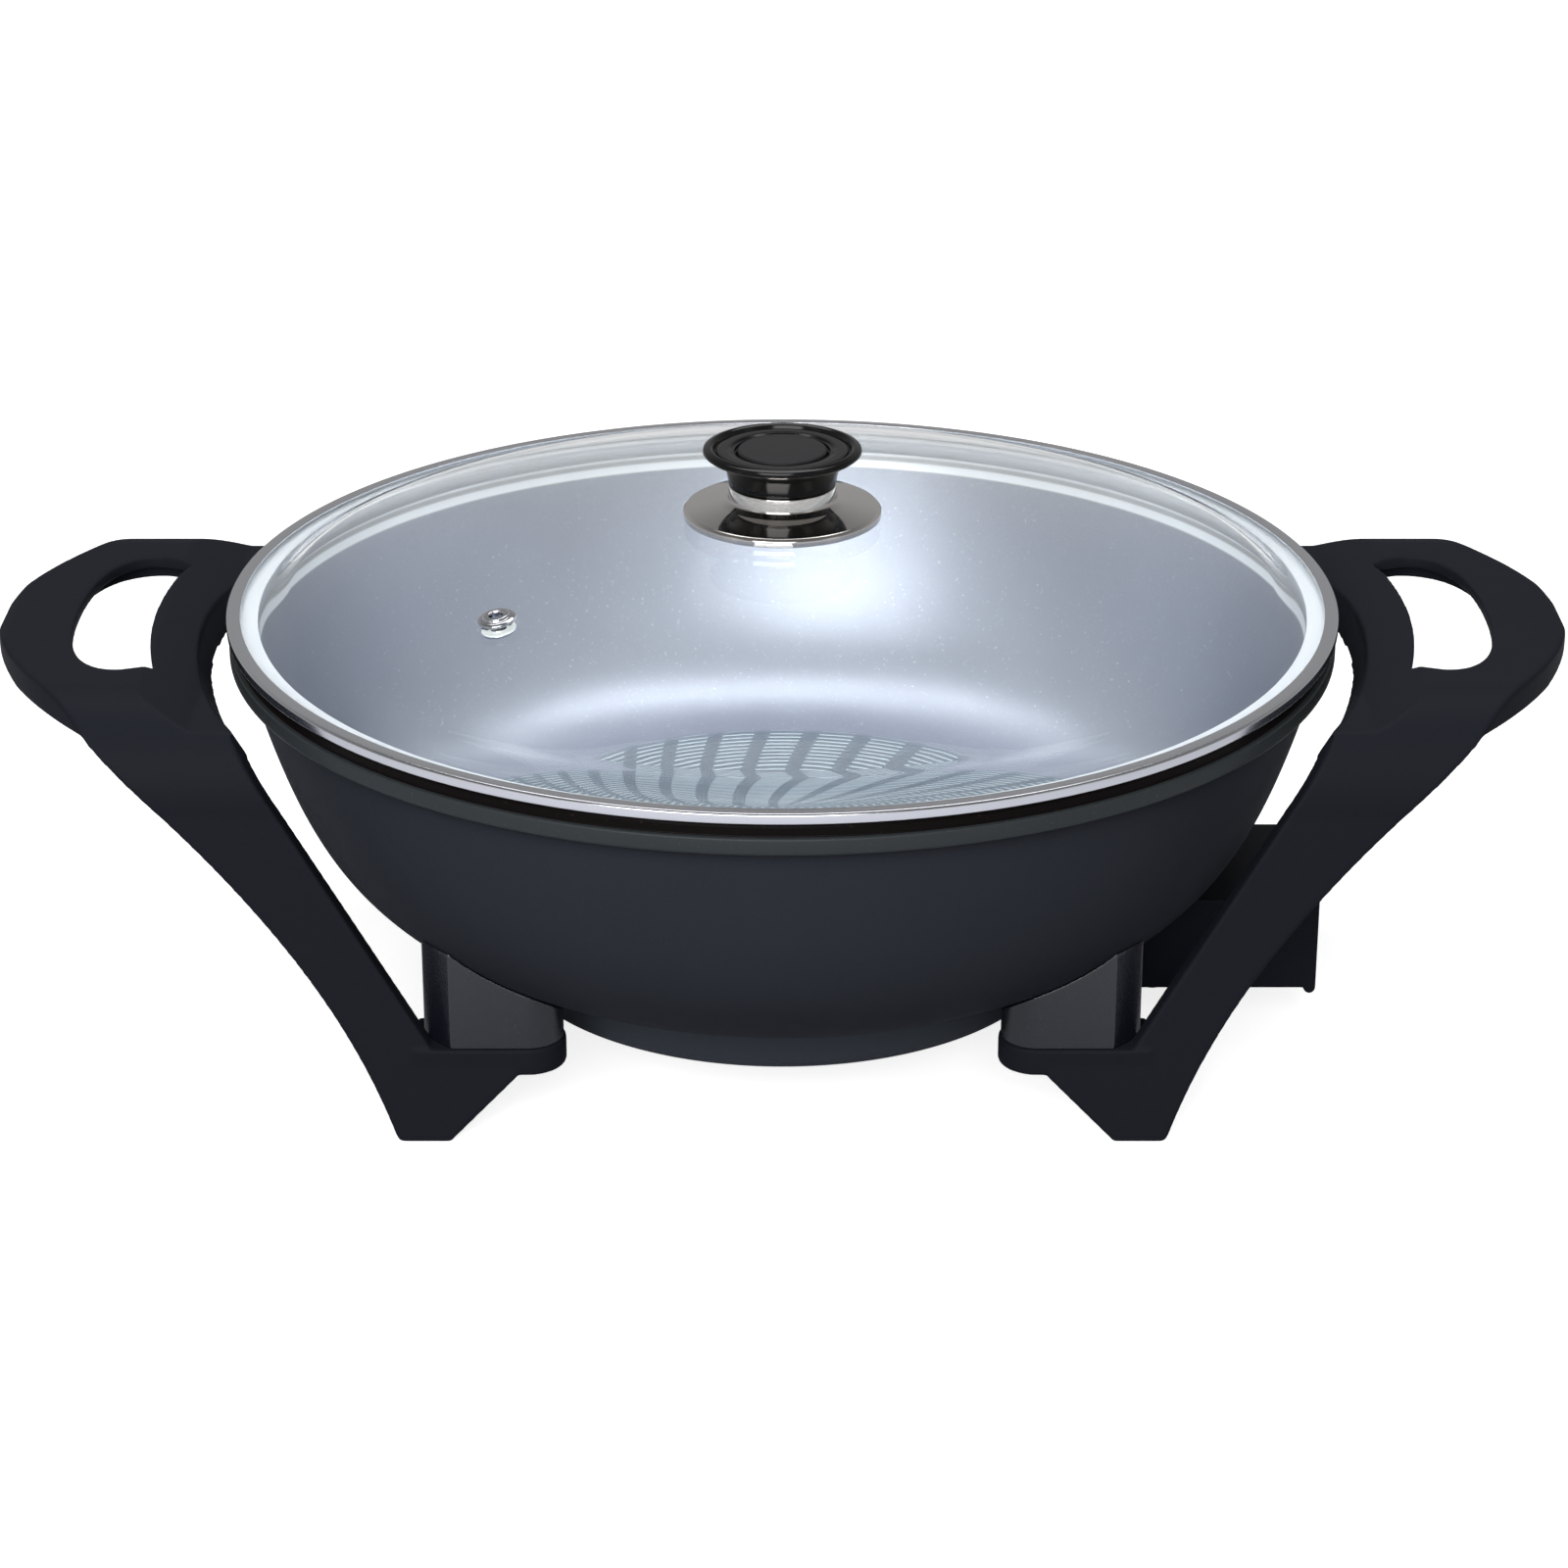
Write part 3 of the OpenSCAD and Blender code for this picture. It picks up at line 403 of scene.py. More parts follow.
def polish():
    """Polished metal: faint turning lines and a haze that wanders."""
    if "Polish" in bpy.data.node_groups:
        return bpy.data.node_groups["Polish"]
    group, given, put = shader_group(
        "Polish",
        [("Vector", VECTOR, None), ("Roughness", VALUE, 0.08),
         ("Haze", VALUE, 0.06)],
        [("Height", VALUE), ("Roughness", VALUE)])
    x, y, z = parted(group, given.outputs["Vector"])
    ring = group.nodes.new("ShaderNodeCombineXYZ")
    group.links.new(radius_of(group, x, y), ring.inputs[0])
    group.links.new(z, ring.inputs[2])
    lines = noise(group, ring.outputs[0], 2600.0, 2.0, 0.6)
    cloud = noise(group, given.outputs["Vector"], 60.0, 3.0, 0.6)
    group.links.new(lines, put.inputs["Height"])
    rough = calc(group, "MULTIPLY_ADD", cloud, given.outputs["Haze"], given.outputs["Roughness"])
    group.links.new(rough, put.inputs["Roughness"])
    return group


# ---- materials --------------------------------------------------------------


def material(name):
    """A new material with its Principled shader and the object's own coordinates."""
    made = bpy.data.materials.new(name)
    made.use_nodes = True
    tree = made.node_tree
    shader = next(n for n in tree.nodes if n.type == "BSDF_PRINCIPLED")
    where = tree.nodes.new("ShaderNodeTexCoord").outputs["Object"]
    return made, tree, shader, where


def placed(tree, group, where, **values):
    """A shader group put into a material, with its inputs given by their names."""
    node = tree.nodes.new("ShaderNodeGroup")
    node.node_tree = group
    tree.links.new(where, node.inputs["Vector"])
    fill(node, **values)
    return node


def bumped(tree, shader, height, distance):
    """Leads a height to the shader's normal, at so many metres for a height of one."""
    bump = tree.nodes.new("ShaderNodeBump")
    fill(bump, Distance=distance, Strength=1.0)
    tree.links.new(height, bump.inputs["Height"])
    tree.links.new(bump.outputs["Normal"], shader.inputs["Normal"])


def moulding(name, colour, roughness, level, grain=1800.0, depth=0.00006, wander=0.08):
    """Phenolic, silicone or ceramic with a moulded face, from matte to glossy."""
    made, tree, shader, where = material(name)
    fill(shader, Base_Color=colour, Specular_IOR_Level=level)
    grainy = placed(tree, moulded_grain(), where, Grain_per_metre=grain, Roughness=roughness,
                    Wander=wander)
    tree.links.new(grainy.outputs["Roughness"], shader.inputs["Roughness"])
    bumped(tree, shader, grainy.outputs["Height"], depth)
    return made


def flecked(name, ground, fleck, roughness, level, per_metre, cover, depth):
    """A sprayed or enamelled coating with flecks."""
    made, tree, shader, where = material(name)
    fill(shader, Specular_IOR_Level=level)
    coating = placed(tree, fleck_coating(), where, Ground=ground, Fleck=fleck,
                     Flecks_per_metre=per_metre, Cover=cover, Cloud=0.15)
    grainy = placed(tree, moulded_grain(), where, Grain_per_metre=per_metre, Roughness=roughness,
                    Wander=0.1)
    tree.links.new(coating.outputs["Color"], shader.inputs["Base Color"])
    tree.links.new(grainy.outputs["Roughness"], shader.inputs["Roughness"])
    bumped(tree, shader, coating.outputs["Height"], depth)
    return made


def polished_metal(name, colour, roughness, haze=0.05, depth=0.00001, metallic=1.0):
    """Polished or satin metal with turning lines."""
    made, tree, shader, where = material(name)
    fill(shader, Base_Color=colour, Metallic=metallic)
    worn = placed(tree, polish(), where, Roughness=roughness, Haze=haze)
    tree.links.new(worn.outputs["Roughness"], shader.inputs["Roughness"])
    bumped(tree, shader, worn.outputs["Height"], depth)
    return made


GLASS_IOR = 1.13  # matched to the photo; real glass has about 1.5


def clear_glass(name, tint):
    """Clear glass that lets the lamps through to what lies under it."""
    made, tree, shader, where = material(name)
    fill(shader, Base_Color=tint, Roughness=0.0, Metallic=0.0, Transmission_Weight=1.0, IOR=GLASS_IOR)
    ripple = noise(tree, where, 9.0, 1.0, 0.4)
    bumped(tree, shader, ripple, 0.00004)
    see = tree.nodes.new("ShaderNodeBsdfTransparent")
    fill(see, Color=(0.93, 0.95, 0.95))
    either = tree.nodes.new("ShaderNodeMixShader")
    tree.links.new(tree.nodes.new("ShaderNodeLightPath").outputs["Is Shadow Ray"], either.inputs[0])
    tree.links.new(shader.outputs[0], either.inputs[1])
    tree.links.new(see.outputs[0], either.inputs[2])
    end = next(n for n in tree.nodes if n.type == "OUTPUT_MATERIAL")
    tree.links.new(either.outputs[0], end.inputs["Surface"])
    return made


def cooking_coat(sizes, paints):
    """The pan's inside: lilac-grey coating, with fine rings cut in the floor between smooth bands; the
    floor disc carries painted shade and the rings' crests a painted highlight.
    """
    made, tree, shader, where = material("Inside coating")
    fill(shader, Specular_IOR_Level=0.5, Metallic=0.94)
    coating = placed(tree, fleck_coating(), where, Ground=paints.inside, Fleck=paints.inside_fleck,
                     Flecks_per_metre=1100.0, Cover=0.64, Cloud=0.12)
    grainy = placed(tree, moulded_grain(), where, Grain_per_metre=1500.0, Roughness=0.42, Wander=0.06)
    x, y = parted(tree, where)[:2]
    radius = radius_of(tree, x, y)
    turn = calc(tree, "ARCTAN2", y, x)
    wave = calc(tree, "SINE", calc(tree, "MULTIPLY", radius, 2 * math.pi / sizes.groove_pitch))
    # the bands lie almost radially towards 50 degrees and turn more and more away from there
    straight, mean_r = math.radians(50.0), 0.07
    from_straight = calc(tree, "COSINE", calc(tree, "SUBTRACT", turn, straight))
    lean = calc(tree, "MULTIPLY_ADD", from_straight, -sizes.band_swing, sizes.band_twist)
    sweep = calc(tree, "MULTIPLY_ADD", calc(tree, "SUBTRACT", radius, mean_r), lean, turn)
    bands = calc(tree, "SINE", calc(tree, "MULTIPLY", sweep, float(sizes.smooth_bands)))
    smooth_below, cut_above, fade_in, fade_out = -0.62, -0.38, 0.004, 0.002
    cut = ramp(tree, bands, smooth_below, cut_above)
    floor = ramp(tree, radius, sizes.groove_radius - fade_in, sizes.groove_radius + fade_out, 1.0, 0.0)
    mask = calc(tree, "MULTIPLY", cut, floor)
    crest = ramp(tree, wave, -0.1, 0.9)
    line = calc(tree, "MULTIPLY", crest, mask)
    painted_shade_share, painted_glint_share, line_height, depth = 0.8, 0.7, 5.0, 0.00004
    # painted shade: the floor disc's colour is pulled towards a darker, bluer tone than the walls
    floor_with_painted_shade = blend_colours(tree, calc(tree, "MULTIPLY", floor, painted_shade_share), coating.outputs["Color"],
                          paints.painted_floor_shade)
    # painted highlight: the rings' crests are lightened as if they catch the light
    rings_with_painted_glint = blend_colours(tree, calc(tree, "MULTIPLY", line, painted_glint_share), floor_with_painted_shade, paints.painted_groove_glint)
    tree.links.new(rings_with_painted_glint, shader.inputs["Base Color"])
    tree.links.new(grainy.outputs["Roughness"], shader.inputs["Roughness"])
    height = calc(tree, "MULTIPLY_ADD", line, line_height, coating.outputs["Height"])
    bumped(tree, shader, height, depth)
    return made


def bare_alloy(name, colour, pitch):
    """Bare turned alloy at the pan's mouth, with fine rings one above the other."""
    made, tree, shader, where = material(name)
    fill(shader, Metallic=0.55)
    worn = placed(tree, polish(), where, Roughness=0.34, Haze=0.12)
    wave = calc(tree, "SINE", calc(tree, "MULTIPLY", parted(tree, where)[2], 2 * math.pi / pitch))
    shade = ramp(tree, wave, -0.9, 0.2)
    dark_share = 0.45
    dark = tuple(dark_share * c for c in colour)
    tree.links.new(blend_colours(tree, shade, dark, colour), shader.inputs["Base Color"])
    tree.links.new(worn.outputs["Roughness"], shader.inputs["Roughness"])
    bumped(tree, shader, worn.outputs["Height"], 0.00002)
    return made


# ---- sizes and colours ------------------------------------------------------


class WokSizes(PropertyGroup):
    """Sizes that the frame leaves to the looks."""

    turn_segments: IntProperty(name="Turning segments", description="Facets round a turned piece",
                               default=288, min=48, max=720)
    skin_depth: IntProperty(name="Moulding detail", default=9, min=6, max=9,
                            description="Halvings of a handle into its smallest facets")
    edge_passes: IntProperty(name="Edge rounding", description="How far a handle's edges are rounded over",
                             default=30, min=0, max=60)
    groove_pitch: FloatProperty(name="Groove pitch", default=0.0031, min=0.001, max=0.02, unit="LENGTH",
                                description="Distance between rings in the pan's floor")
    groove_radius: FloatProperty(name="Groove radius", description="Reach of the rings in the pan's floor",
                                 default=0.103, min=0.02, max=0.15, unit="LENGTH")
    smooth_bands: IntProperty(name="Smooth bands", description="Smooth bands that cross the rings",
                              default=28, min=0, max=80)
    band_twist: FloatProperty(name="Band twist", default=14.0, min=-40.0, max=40.0,
                              description="Mean turn of the smooth bands per metre of radius")
    band_swing: FloatProperty(name="Band swing", default=15.0, min=-40.0, max=40.0,
                              description="How much the bands' turn differs round the floor")


def finish_colour(name, description, default):
    """A colour property, with 0 to 1 in each channel."""
    return FloatVectorProperty(name=name, description=description, default=default, size=3,
                               subtype="COLOR", min=0.0, max=1.0)


class WokPaints(PropertyGroup):
    """Colours of the finishes, with painted shade in the pan's floor and rim band and a painted highlight
    on the floor's rings.
    """

    handle: finish_colour("Handle", "Matte black of handles and socket", (0.015, 0.0165, 0.0225))
    spacer: finish_colour("Spacer", "Blue-black of the spacers", (0.006, 0.0065, 0.012))
    enamel: finish_colour("Enamel", "Ground of the pan's outside", (0.038, 0.0425, 0.055))
    enamel_fleck: finish_colour("Enamel fleck", "Flecks of the pan's outside", (0.045, 0.05, 0.056))
    flange: finish_colour("Flange", "Grey of the rim flange", (0.034, 0.04, 0.043))
    # dark brown band, taken down to near black as painted shade under the lid's overhanging rim
    rim_band_brown_and_shade: finish_colour("Rim band", "Dark brown of the band above the flange", (0.005, 0.0035, 0.0035))
    inside: finish_colour("Inside", "Lilac-grey of the pan's inside", (0.315, 0.337, 0.395))
    inside_fleck: finish_colour("Inside fleck", "Flecks of the pan's inside", (0.5, 0.54, 0.62))
    # painted shade: the darker colour laid over the pan's floor disc
    painted_floor_shade: finish_colour("Floor shade", "Shade of the smooth bands", (0.15, 0.19, 0.22))
    # painted highlight: the light colour laid along the crests of the floor's rings
    painted_groove_glint: finish_colour("Groove light", "Light edges of the rings", (0.5, 0.57, 0.61))
    cover: finish_colour("Cover", "Dark grey of the base cover", (0.048, 0.056, 0.071))
    mouth: finish_colour("Mouth", "Bare alloy at the pan's mouth", (0.78, 0.81, 0.84))
    steel: finish_colour("Steel", "Polished steel", (0.78, 0.79, 0.83))
    satin: finish_colour("Satin", "Pale satin inside of the lid's rim", (0.52, 0.545, 0.585))
    glass: finish_colour("Glass", "Tint of the lid's glass", (0.97, 0.985, 0.985))


def strength(name, description, default, unit="NONE"):
    """A property for the strength of a light."""
    return FloatProperty(name=name, description=description, default=default, unit=unit)


class WokStage(PropertyGroup):
    """Camera, lamps and floor."""

    elevation: FloatProperty(name="Elevation", description="Height of the camera above the horizon",
                             default=math.radians(23.25), subtype="ANGLE")
    distance: FloatProperty(name="Distance", description="Camera to target", default=1.4, unit="LENGTH")
    lens: FloatProperty(name="Lens", description="Focal length in millimetres", default=97.02,
                        unit="CAMERA")
    sky: strength("Sky", "Strength of the light from all round", 0.16)
    mirrored_sky: strength("Mirrored sky", "Strength of the sky overhead in reflections", 0.14)
    mirrored_front: strength("Mirrored front", "Strength of the front horizon in reflections", 0.3)
    mirrored_back: strength("Mirrored back", "Strength of the rear horizon in reflections", 0.32)
    top_power: strength("Top lamp", "Power of the soft lamp above", 8.0, "POWER")
    front_power: strength("Front lamp", "Power of the soft lamp above the camera", 34.0, "POWER")
    side_power: strength("Side lamps", "Power of each side lamp", 0.5, "POWER")


def sizes():
    return bpy.context.scene.wok_sizes


def paints():
    return bpy.context.scene.wok_paints


# ---- stage ------------------------------------------------------------------


def aimed(obj, target):
    """Turns a camera or lamp towards a point."""
    obj.rotation_euler = (Vector(target) - obj.location).to_track_quat("-Z", "Y").to_euler()


def lamp(name, place, width, height, power):
    """A soft lamp, aimed at the wok's middle."""
    data = bpy.data.lights.new(name, "AREA")
    data.shape, data.size, data.size_y, data.energy = "RECTANGLE", width, height, power
    obj = bpy.data.objects.new(name, data)
    bpy.context.scene.collection.objects.link(obj)
    obj.location = place
    aimed(obj, (0.0, 0.0, 0.1))


def seen_rays(tree, path):
    """1 for rays that reach the camera straight or through glass, else 0."""
    return calc(tree, "MAXIMUM", path.outputs["Is Camera Ray"], path.outputs["Is Transmission Ray"])


class WOK_OT_stage(Operator):
    """Sets up the camera, the lamps, the white surroundings and the floor."""

    bl_idname = "wok.stage"
    bl_label = "Stage"

    def execute(self, context):
        stage = context.scene.wok_stage
        target = Vector((0.00054, 0.0, 0.0755))
        data = bpy.data.cameras.new("Camera")
        data.sensor_width, data.lens = 36.0, stage.lens
        data.clip_start, data.clip_end = 0.05, 50.0
        camera = bpy.data.objects.new("Camera", data)
        context.scene.collection.objects.link(camera)
        camera.location = target + stage.distance * Vector(
            (0.0, -math.cos(stage.elevation), math.sin(stage.elevation)))
        aimed(camera, target)
        context.scene.camera = camera
        context.scene.view_settings.view_transform = "Standard"

        world = bpy.data.worlds.new("Studio")
        context.scene.world = world
        world.use_nodes = True
        tree = world.node_tree
        ground = next(n for n in tree.nodes if n.type == "BACKGROUND")
        path = tree.nodes.new("ShaderNodeLightPath")
        seen = seen_rays(tree, path)
        y, z = parted(tree, tree.nodes.new("ShaderNodeTexCoord").outputs["Generated"])[1:]
        front_y, back_y, low_z, high_z = -0.6, 0.3, 0.25, 0.8
        level = ramp(tree, y, front_y, back_y, stage.mirrored_front, stage.mirrored_back)
        up = ramp(tree, z, low_z, high_z)
        gloss = calc(tree, "MULTIPLY_ADD", calc(tree, "SUBTRACT", stage.mirrored_sky, level), up, level)
        plain_sky = calc(tree, "MULTIPLY_ADD", calc(tree, "SUBTRACT", gloss, stage.sky),
                         path.outputs["Is Glossy Ray"], stage.sky)
        fill(ground, Color=(1.0, 1.0, 1.0))
        tree.links.new(calc(tree, "MULTIPLY_ADD", calc(tree, "SUBTRACT", 1.0, plain_sky), seen, plain_sky),
                       ground.inputs["Strength"])

        lamp("Top lamp", (0.0, 0.42, 1.3), 1.2, 0.6, stage.top_power)
        lamp("Front lamp", (-0.3, -1.65, 1.05), 1.5, 1.3, stage.front_power)
        for side in (-1, 1):
            lamp("Side lamp", (side * 1.3, -0.75, 0.9), 0.5, 1.0, stage.side_power)

        made, tree, shader = material("Pale floor")[:3]
        fill(shader, Roughness=0.9, Specular_IOR_Level=0.0, Emission_Color=(1.0, 1.0, 1.0))
        path = tree.nodes.new("ShaderNodeLightPath")
        seen = seen_rays(tree, path)
        shown, glow = (0.8, 0.8, 0.8), 0.8
        mirrored_floor, bounced = (0.72, 0.73, 0.78), (0.06, 0.06, 0.063)
        unseen = blend_colours(tree, path.outputs["Is Glossy Ray"], bounced, mirrored_floor)
        tree.links.new(blend_colours(tree, seen, unseen, shown), shader.inputs["Base Color"])
        tree.links.new(calc(tree, "MULTIPLY", seen, glow), shader.inputs["Emission Strength"])
        mesh = bpy.data.meshes.new("Floor")
        reach, gap = 6.0, 0.0002
        corners = [(-reach, -reach, 0), (reach, -reach, 0), (reach, reach, 0), (-reach, reach, 0)]
        mesh.from_pydata(corners, [], [(0, 1, 2, 3)])
        mesh.materials.append(made)
        floor = linked("Floor", mesh)
        floor.location.z = -gap
        return {"FINISHED"}


# ---- pan --------------------------------------------------------------------

# millimetres, as in the part's source
WALL_R, FLANGE_Z, MOUTH_R, FOOT_RING_Z = 174.4, 129.6, 170.7, 31.4
FLOOR_Z, UNDER_Z, CAVITY_R, MOUTH_LOW_Z = 52.0, 44.0, 88.0, 127.0
BAND_LOW_Z, BAND_TOP_Z, BAND_R = FLANGE_Z + 5.4, 138.7, 177.2
BOWL_CURVE = ((WALL_R, FLANGE_Z), (157.4, 65.6), (146.0, 51.4), (97.0, FOOT_RING_Z))
INSIDE_CURVE = ((170.0, 131.6), (154.4, 71.0), (138.0, FLOOR_Z), (106.0, FLOOR_Z))


def pan_outline():
    """The casting's closed outline, without its bosses, posts and ridge."""
    inside = bezier(*INSIDE_CURVE, 56)
    outside = bezier(*BOWL_CURVE, 56)
    rim = [(MOUTH_R, BAND_LOW_Z + 0.4, 0.6), (MOUTH_R, BAND_TOP_Z, 0.5), (BAND_R, BAND_TOP_Z, 1.1),
           (BAND_R, BAND_LOW_Z, 0.5), (179.0, BAND_LOW_Z, 0.8), (179.0, FLANGE_Z, 1.1)]
    foot = [(CAVITY_R, FOOT_RING_Z, 0.6), (CAVITY_R, UNDER_Z, 0.6)]
    return softened([(0.0, UNDER_Z), (0.0, FLOOR_Z), *reversed(inside), *rim,
                     (*outside[0], 0.8), *outside[1:], *foot])


def in_socket(point):
    """True where the pan's side is bored for the heater's ends and the sensing tip."""
    start_x, half_w, low, high = 0.09, 0.0225, 0.033, 0.0455
    return point.x > start_x and abs(point.y) < half_w and low < point.z < high


class WOK_OT_pan(Operator):
    """Makes the cast pan: enamelled bowl, grey flange, dark rim band and coated inside."""

    bl_idname = "wok.pan"
    bl_label = "Pan"

    def execute(self, context):
        size, paint = sizes(), paints()
        outside = flecked("Hammered enamel", paint.enamel, paint.enamel_fleck, roughness=0.6, level=0.02,
                          per_metre=1300.0, cover=0.62, depth=0.00006)
        flange = flecked("Flange grey", paint.flange, (0.06, 0.065, 0.065), roughness=0.45, level=0.2,
                         per_metre=900.0, cover=0.66, depth=0.00004)
        # the rim band's own dark brown, darkened further as painted shade under the lid's overhang
        band = flecked("Rim band brown and painted shade", paint.rim_band_brown_and_shade, (0.02, 0.012, 0.01), roughness=0.35, level=0.06,
                       per_metre=700.0, cover=0.64, depth=0.00005)
        inside = cooking_coat(size, paint)
        mouth = bare_alloy("Bare mouth", paint.mouth, pitch=0.0043)
        outline = pan_outline()
        pan = turned("pan_casting", outline, outside, size.turn_segments)

        def zone(r, z, n_r, n_z):
            if r < MOUTH_R + 0.9 and z > MOUTH_LOW_Z:
                return 4
            if z > BAND_LOW_Z + 0.05:
                return 2
            if r > WALL_R + 0.6:
                return 1
            inner = n_r < 0.02 and z > FLOOR_Z - 1.0
            return 3 if inner and (n_z > 0.1 or n_r < -0.2) else 0

        zoned(pan, (outside, flange, band, inside, mouth), zone)
        bm = bmesh.new()
        bm.from_mesh(pan.data)
        gone = [f for f in bm.faces if in_socket(f.calc_center_median())]
        bmesh.ops.delete(bm, geom=gone, context="FACES")
        bm.to_mesh(pan.data)
        bm.free()
        settle(pan, "cooker", "coated_alloy", "pan")

        # what stands out of the turned shape: bosses, posts, ridge and the bored side
        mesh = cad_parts["pan"].data.copy()
        rest = linked("pan_bosses", mesh)
        bm = bmesh.new()
        bm.from_mesh(mesh)
        bmesh.ops.remove_doubles(bm, verts=bm.verts, dist=WELD)
        line = [Vector(p) for p in outline]

        def off_shell(point):
            """Distance in millimetres from a point to the turned shape's outline."""
            here = Vector((math.hypot(point.x, point.y) / MM, point.z / MM))
            best = math.inf
            for a, b in zip(line, line[1:] + line[:1]):
                along = b - a
                t = max(0.0, min(1.0, (here - a).dot(along) / max(along.length_squared, 1e-12)))
                best = min(best, (a + along * t - here).length)
            return best

        on_shell = 0.45  # millimetres
        drop = [f for f in bm.faces if not in_socket(f.calc_center_median())
                and max(off_shell(v.co) for v in f.verts) < on_shell]
        bmesh.ops.delete(bm, geom=drop, context="FACES")
        bm.to_mesh(mesh)
        bm.free()
        mesh.materials.clear()
        mesh.materials.append(outside)
        settle(rest, "cooker", "coated_alloy", "pan")
        return {"FINISHED"}


class WOK_OT_base_cover(Operator):
    """Makes the pressed cover under the pan."""

    bl_idname = "wok.base_cover"
    bl_label = "Base cover"

    def execute(self, context):
        low, high = COVER_LOW.z / MM, COVER_HIGH.z / MM
        rim = COVER_HIGH.x / MM
        taper, step, step_h, sheet = 1.8, 2.6, 2.6, 1.6
        foot = rim - taper - step
        outline = softened([
            (0.0, low), (foot, low, 1.0), (foot, low + step_h - 0.6, 0.5), (foot + 1, low + step_h, 0.5),
            (rim - taper, low + step_h, 1.2), (rim, high, 0.4), (rim - 2 * sheet, high, 0.4),
            (rim - taper - 2 * sheet, low + step_h + sheet, 0.8), (foot - sheet, low + step_h + sheet, 0.6),
            (foot - sheet, low + sheet, 0.6), (0.0, low + sheet)])
        coat = flecked("Cover grey", paints().cover, (0.045, 0.05, 0.055), roughness=0.4, level=0.2,
                       per_metre=1100.0, cover=0.64, depth=0.00004)
        cover = turned("base_cover_pressing", outline, coat, sizes().turn_segments)
        settle(cover, "cooker", "cover_coating", "base_cover")
        return {"FINISHED"}


# ---- mouldings --------------------------------------------------------------

BLOCK_DEPTH, BLOCK_PASSES, BLOCK_KEPT, HANDLE_KEPT = 7, 8, 0.5, 0.25


def block(node, name, material):
    """A small moulding, of the spacers' size."""
    return moulded(node, name, material, BLOCK_DEPTH, BLOCK_PASSES, BLOCK_KEPT)


class WOK_OT_handles(Operator):
    """Makes the two loop handles that turn down into legs."""

    bl_idname = "wok.handles"
    bl_label = "Handles"

    def execute(self, context):
        size = sizes()
        black = moulding("Matte phenolic", paints().handle, roughness=0.5, level=0.03)
        right = moulded("handle_right", "handle_right_moulding", black, size.skin_depth,
                        size.edge_passes, HANDLE_KEPT)
        left = mirrored(right, "handle_left_moulding")
        settle(right, "cooker", "black_phenolic", "handle_right")
        settle(left, "cooker", "black_phenolic", "handle_left")
        return {"FINISHED"}


class WOK_OT_spacers(Operator):
    """Makes the four glossy blocks between the handles' arms and the bowl."""

    bl_idname = "wok.spacers"
    bl_label = "Spacers"

    def execute(self, context):
        gloss = flecked("Glossy phenolic", paints().spacer, (0.03, 0.032, 0.05), roughness=0.24, level=0.9,
                        per_metre=1500.0, cover=0.64, depth=0.00005)
        for node in ("spacer_front_left", "spacer_front_right", "spacer_rear_left", "spacer_rear_right"):
            settle(block(node, node + "_block", gloss), "cooker", "gloss_phenolic", node)
        return {"FINISHED"}


class WOK_OT_probe_socket(Operator):
    """Makes the guard round the probe socket."""

    bl_idname = "wok.probe_socket"
    bl_label = "Probe socket"

    def execute(self, context):
        black = moulding("Socket phenolic", paints().handle, roughness=0.4, level=0.06,
                               grain=1500.0, depth=0.00004)
        guard = block("probe_shroud", "probe_guard", black)
        settle(guard, "cooker", "black_phenolic", "probe_shroud")
        return {"FINISHED"}


# ---- lid --------------------------------------------------------------------

# millimetres, apart from the vent's turn and the counts of segments
LID_R, RIM_T, GLASS_T, DOME_H, EDGE_RISE, EDGE_W = 179.6, 0.5, 3.0, 31.5, 9.0, 19.0
SEAT_Z = 139.0
GLASS_Z = SEAT_Z + RIM_T
DOME_R = LID_R - 1.0 - EDGE_W
DOME_RISE = DOME_H - EDGE_RISE
DOME_BIG_R = (DOME_R**2 + DOME_RISE**2) / (2 * DOME_RISE)
APEX_Z = SEAT_Z + DOME_H
VENT_R, VENT_TURN, GLASS_HOLE_R = 111.6, math.radians(218.0), 3.7
VENT_SEGMENTS, KNOB_SEGMENTS = 96, 192


def dome_z(r):
    """Height of the glass's top at a radius, in millimetres."""
    return APEX_Z - DOME_BIG_R + math.sqrt(DOME_BIG_R**2 - r * r)


def vent_place(mesh):
    """Moves a mesh that was made round Z at the origin to the steam vent."""
    tilt = math.asin(VENT_R / DOME_BIG_R)
    where = (Matrix.Rotation(VENT_TURN, 4, "Z") @ Matrix.Translation((VENT_R * MM, 0, dome_z(VENT_R) * MM))
             @ Matrix.Rotation(tilt, 4, "Y") @ Matrix.Translation((0, 0, -GLASS_T / 2 * MM)))
    mesh.transform(where)


def glass_outline():
    """The glass's closed outline: flat edge, shoulder and dome, with the hole for the knob's screw."""
    slope = DOME_R / (DOME_BIG_R - DOME_RISE)
    edge = ((DOME_R + 15, GLASS_Z + GLASS_T), (DOME_R + 8, GLASS_Z + GLASS_T),
            (DOME_R + 6, SEAT_Z + EDGE_RISE - 6 * slope), (DOME_R, SEAT_Z + EDGE_RISE))
    shoulder = bezier(*edge, 24)
    rim = LID_R - RIM_T - 0.2
    steps = 40
    crown = []
    for i in range(1, steps + 1):
        r = DOME_R + (GLASS_HOLE_R - DOME_R) * i / steps
        crown.append((r, dome_z(r)))
    top = [(rim, GLASS_Z + GLASS_T, 0.6), *shoulder, *crown]
    under = []
    full = [*shoulder, *crown]
    for i, p in enumerate(full):
        a, b = Vector(full[max(i - 1, 0)]), Vector(full[min(i + 1, len(full) - 1)])
        run = (b - a).normalized()
        away = Vector((-run.y, run.x))
        under.append((p[0] + away.x * GLASS_T, p[1] + away.y * GLASS_T))
    under[-1] = (GLASS_HOLE_R, under[-1][1])
    return softened([*top, *reversed(under), (rim - 1.2, GLASS_Z, 0.4), (rim, GLASS_Z + 1.0, 0.4)])


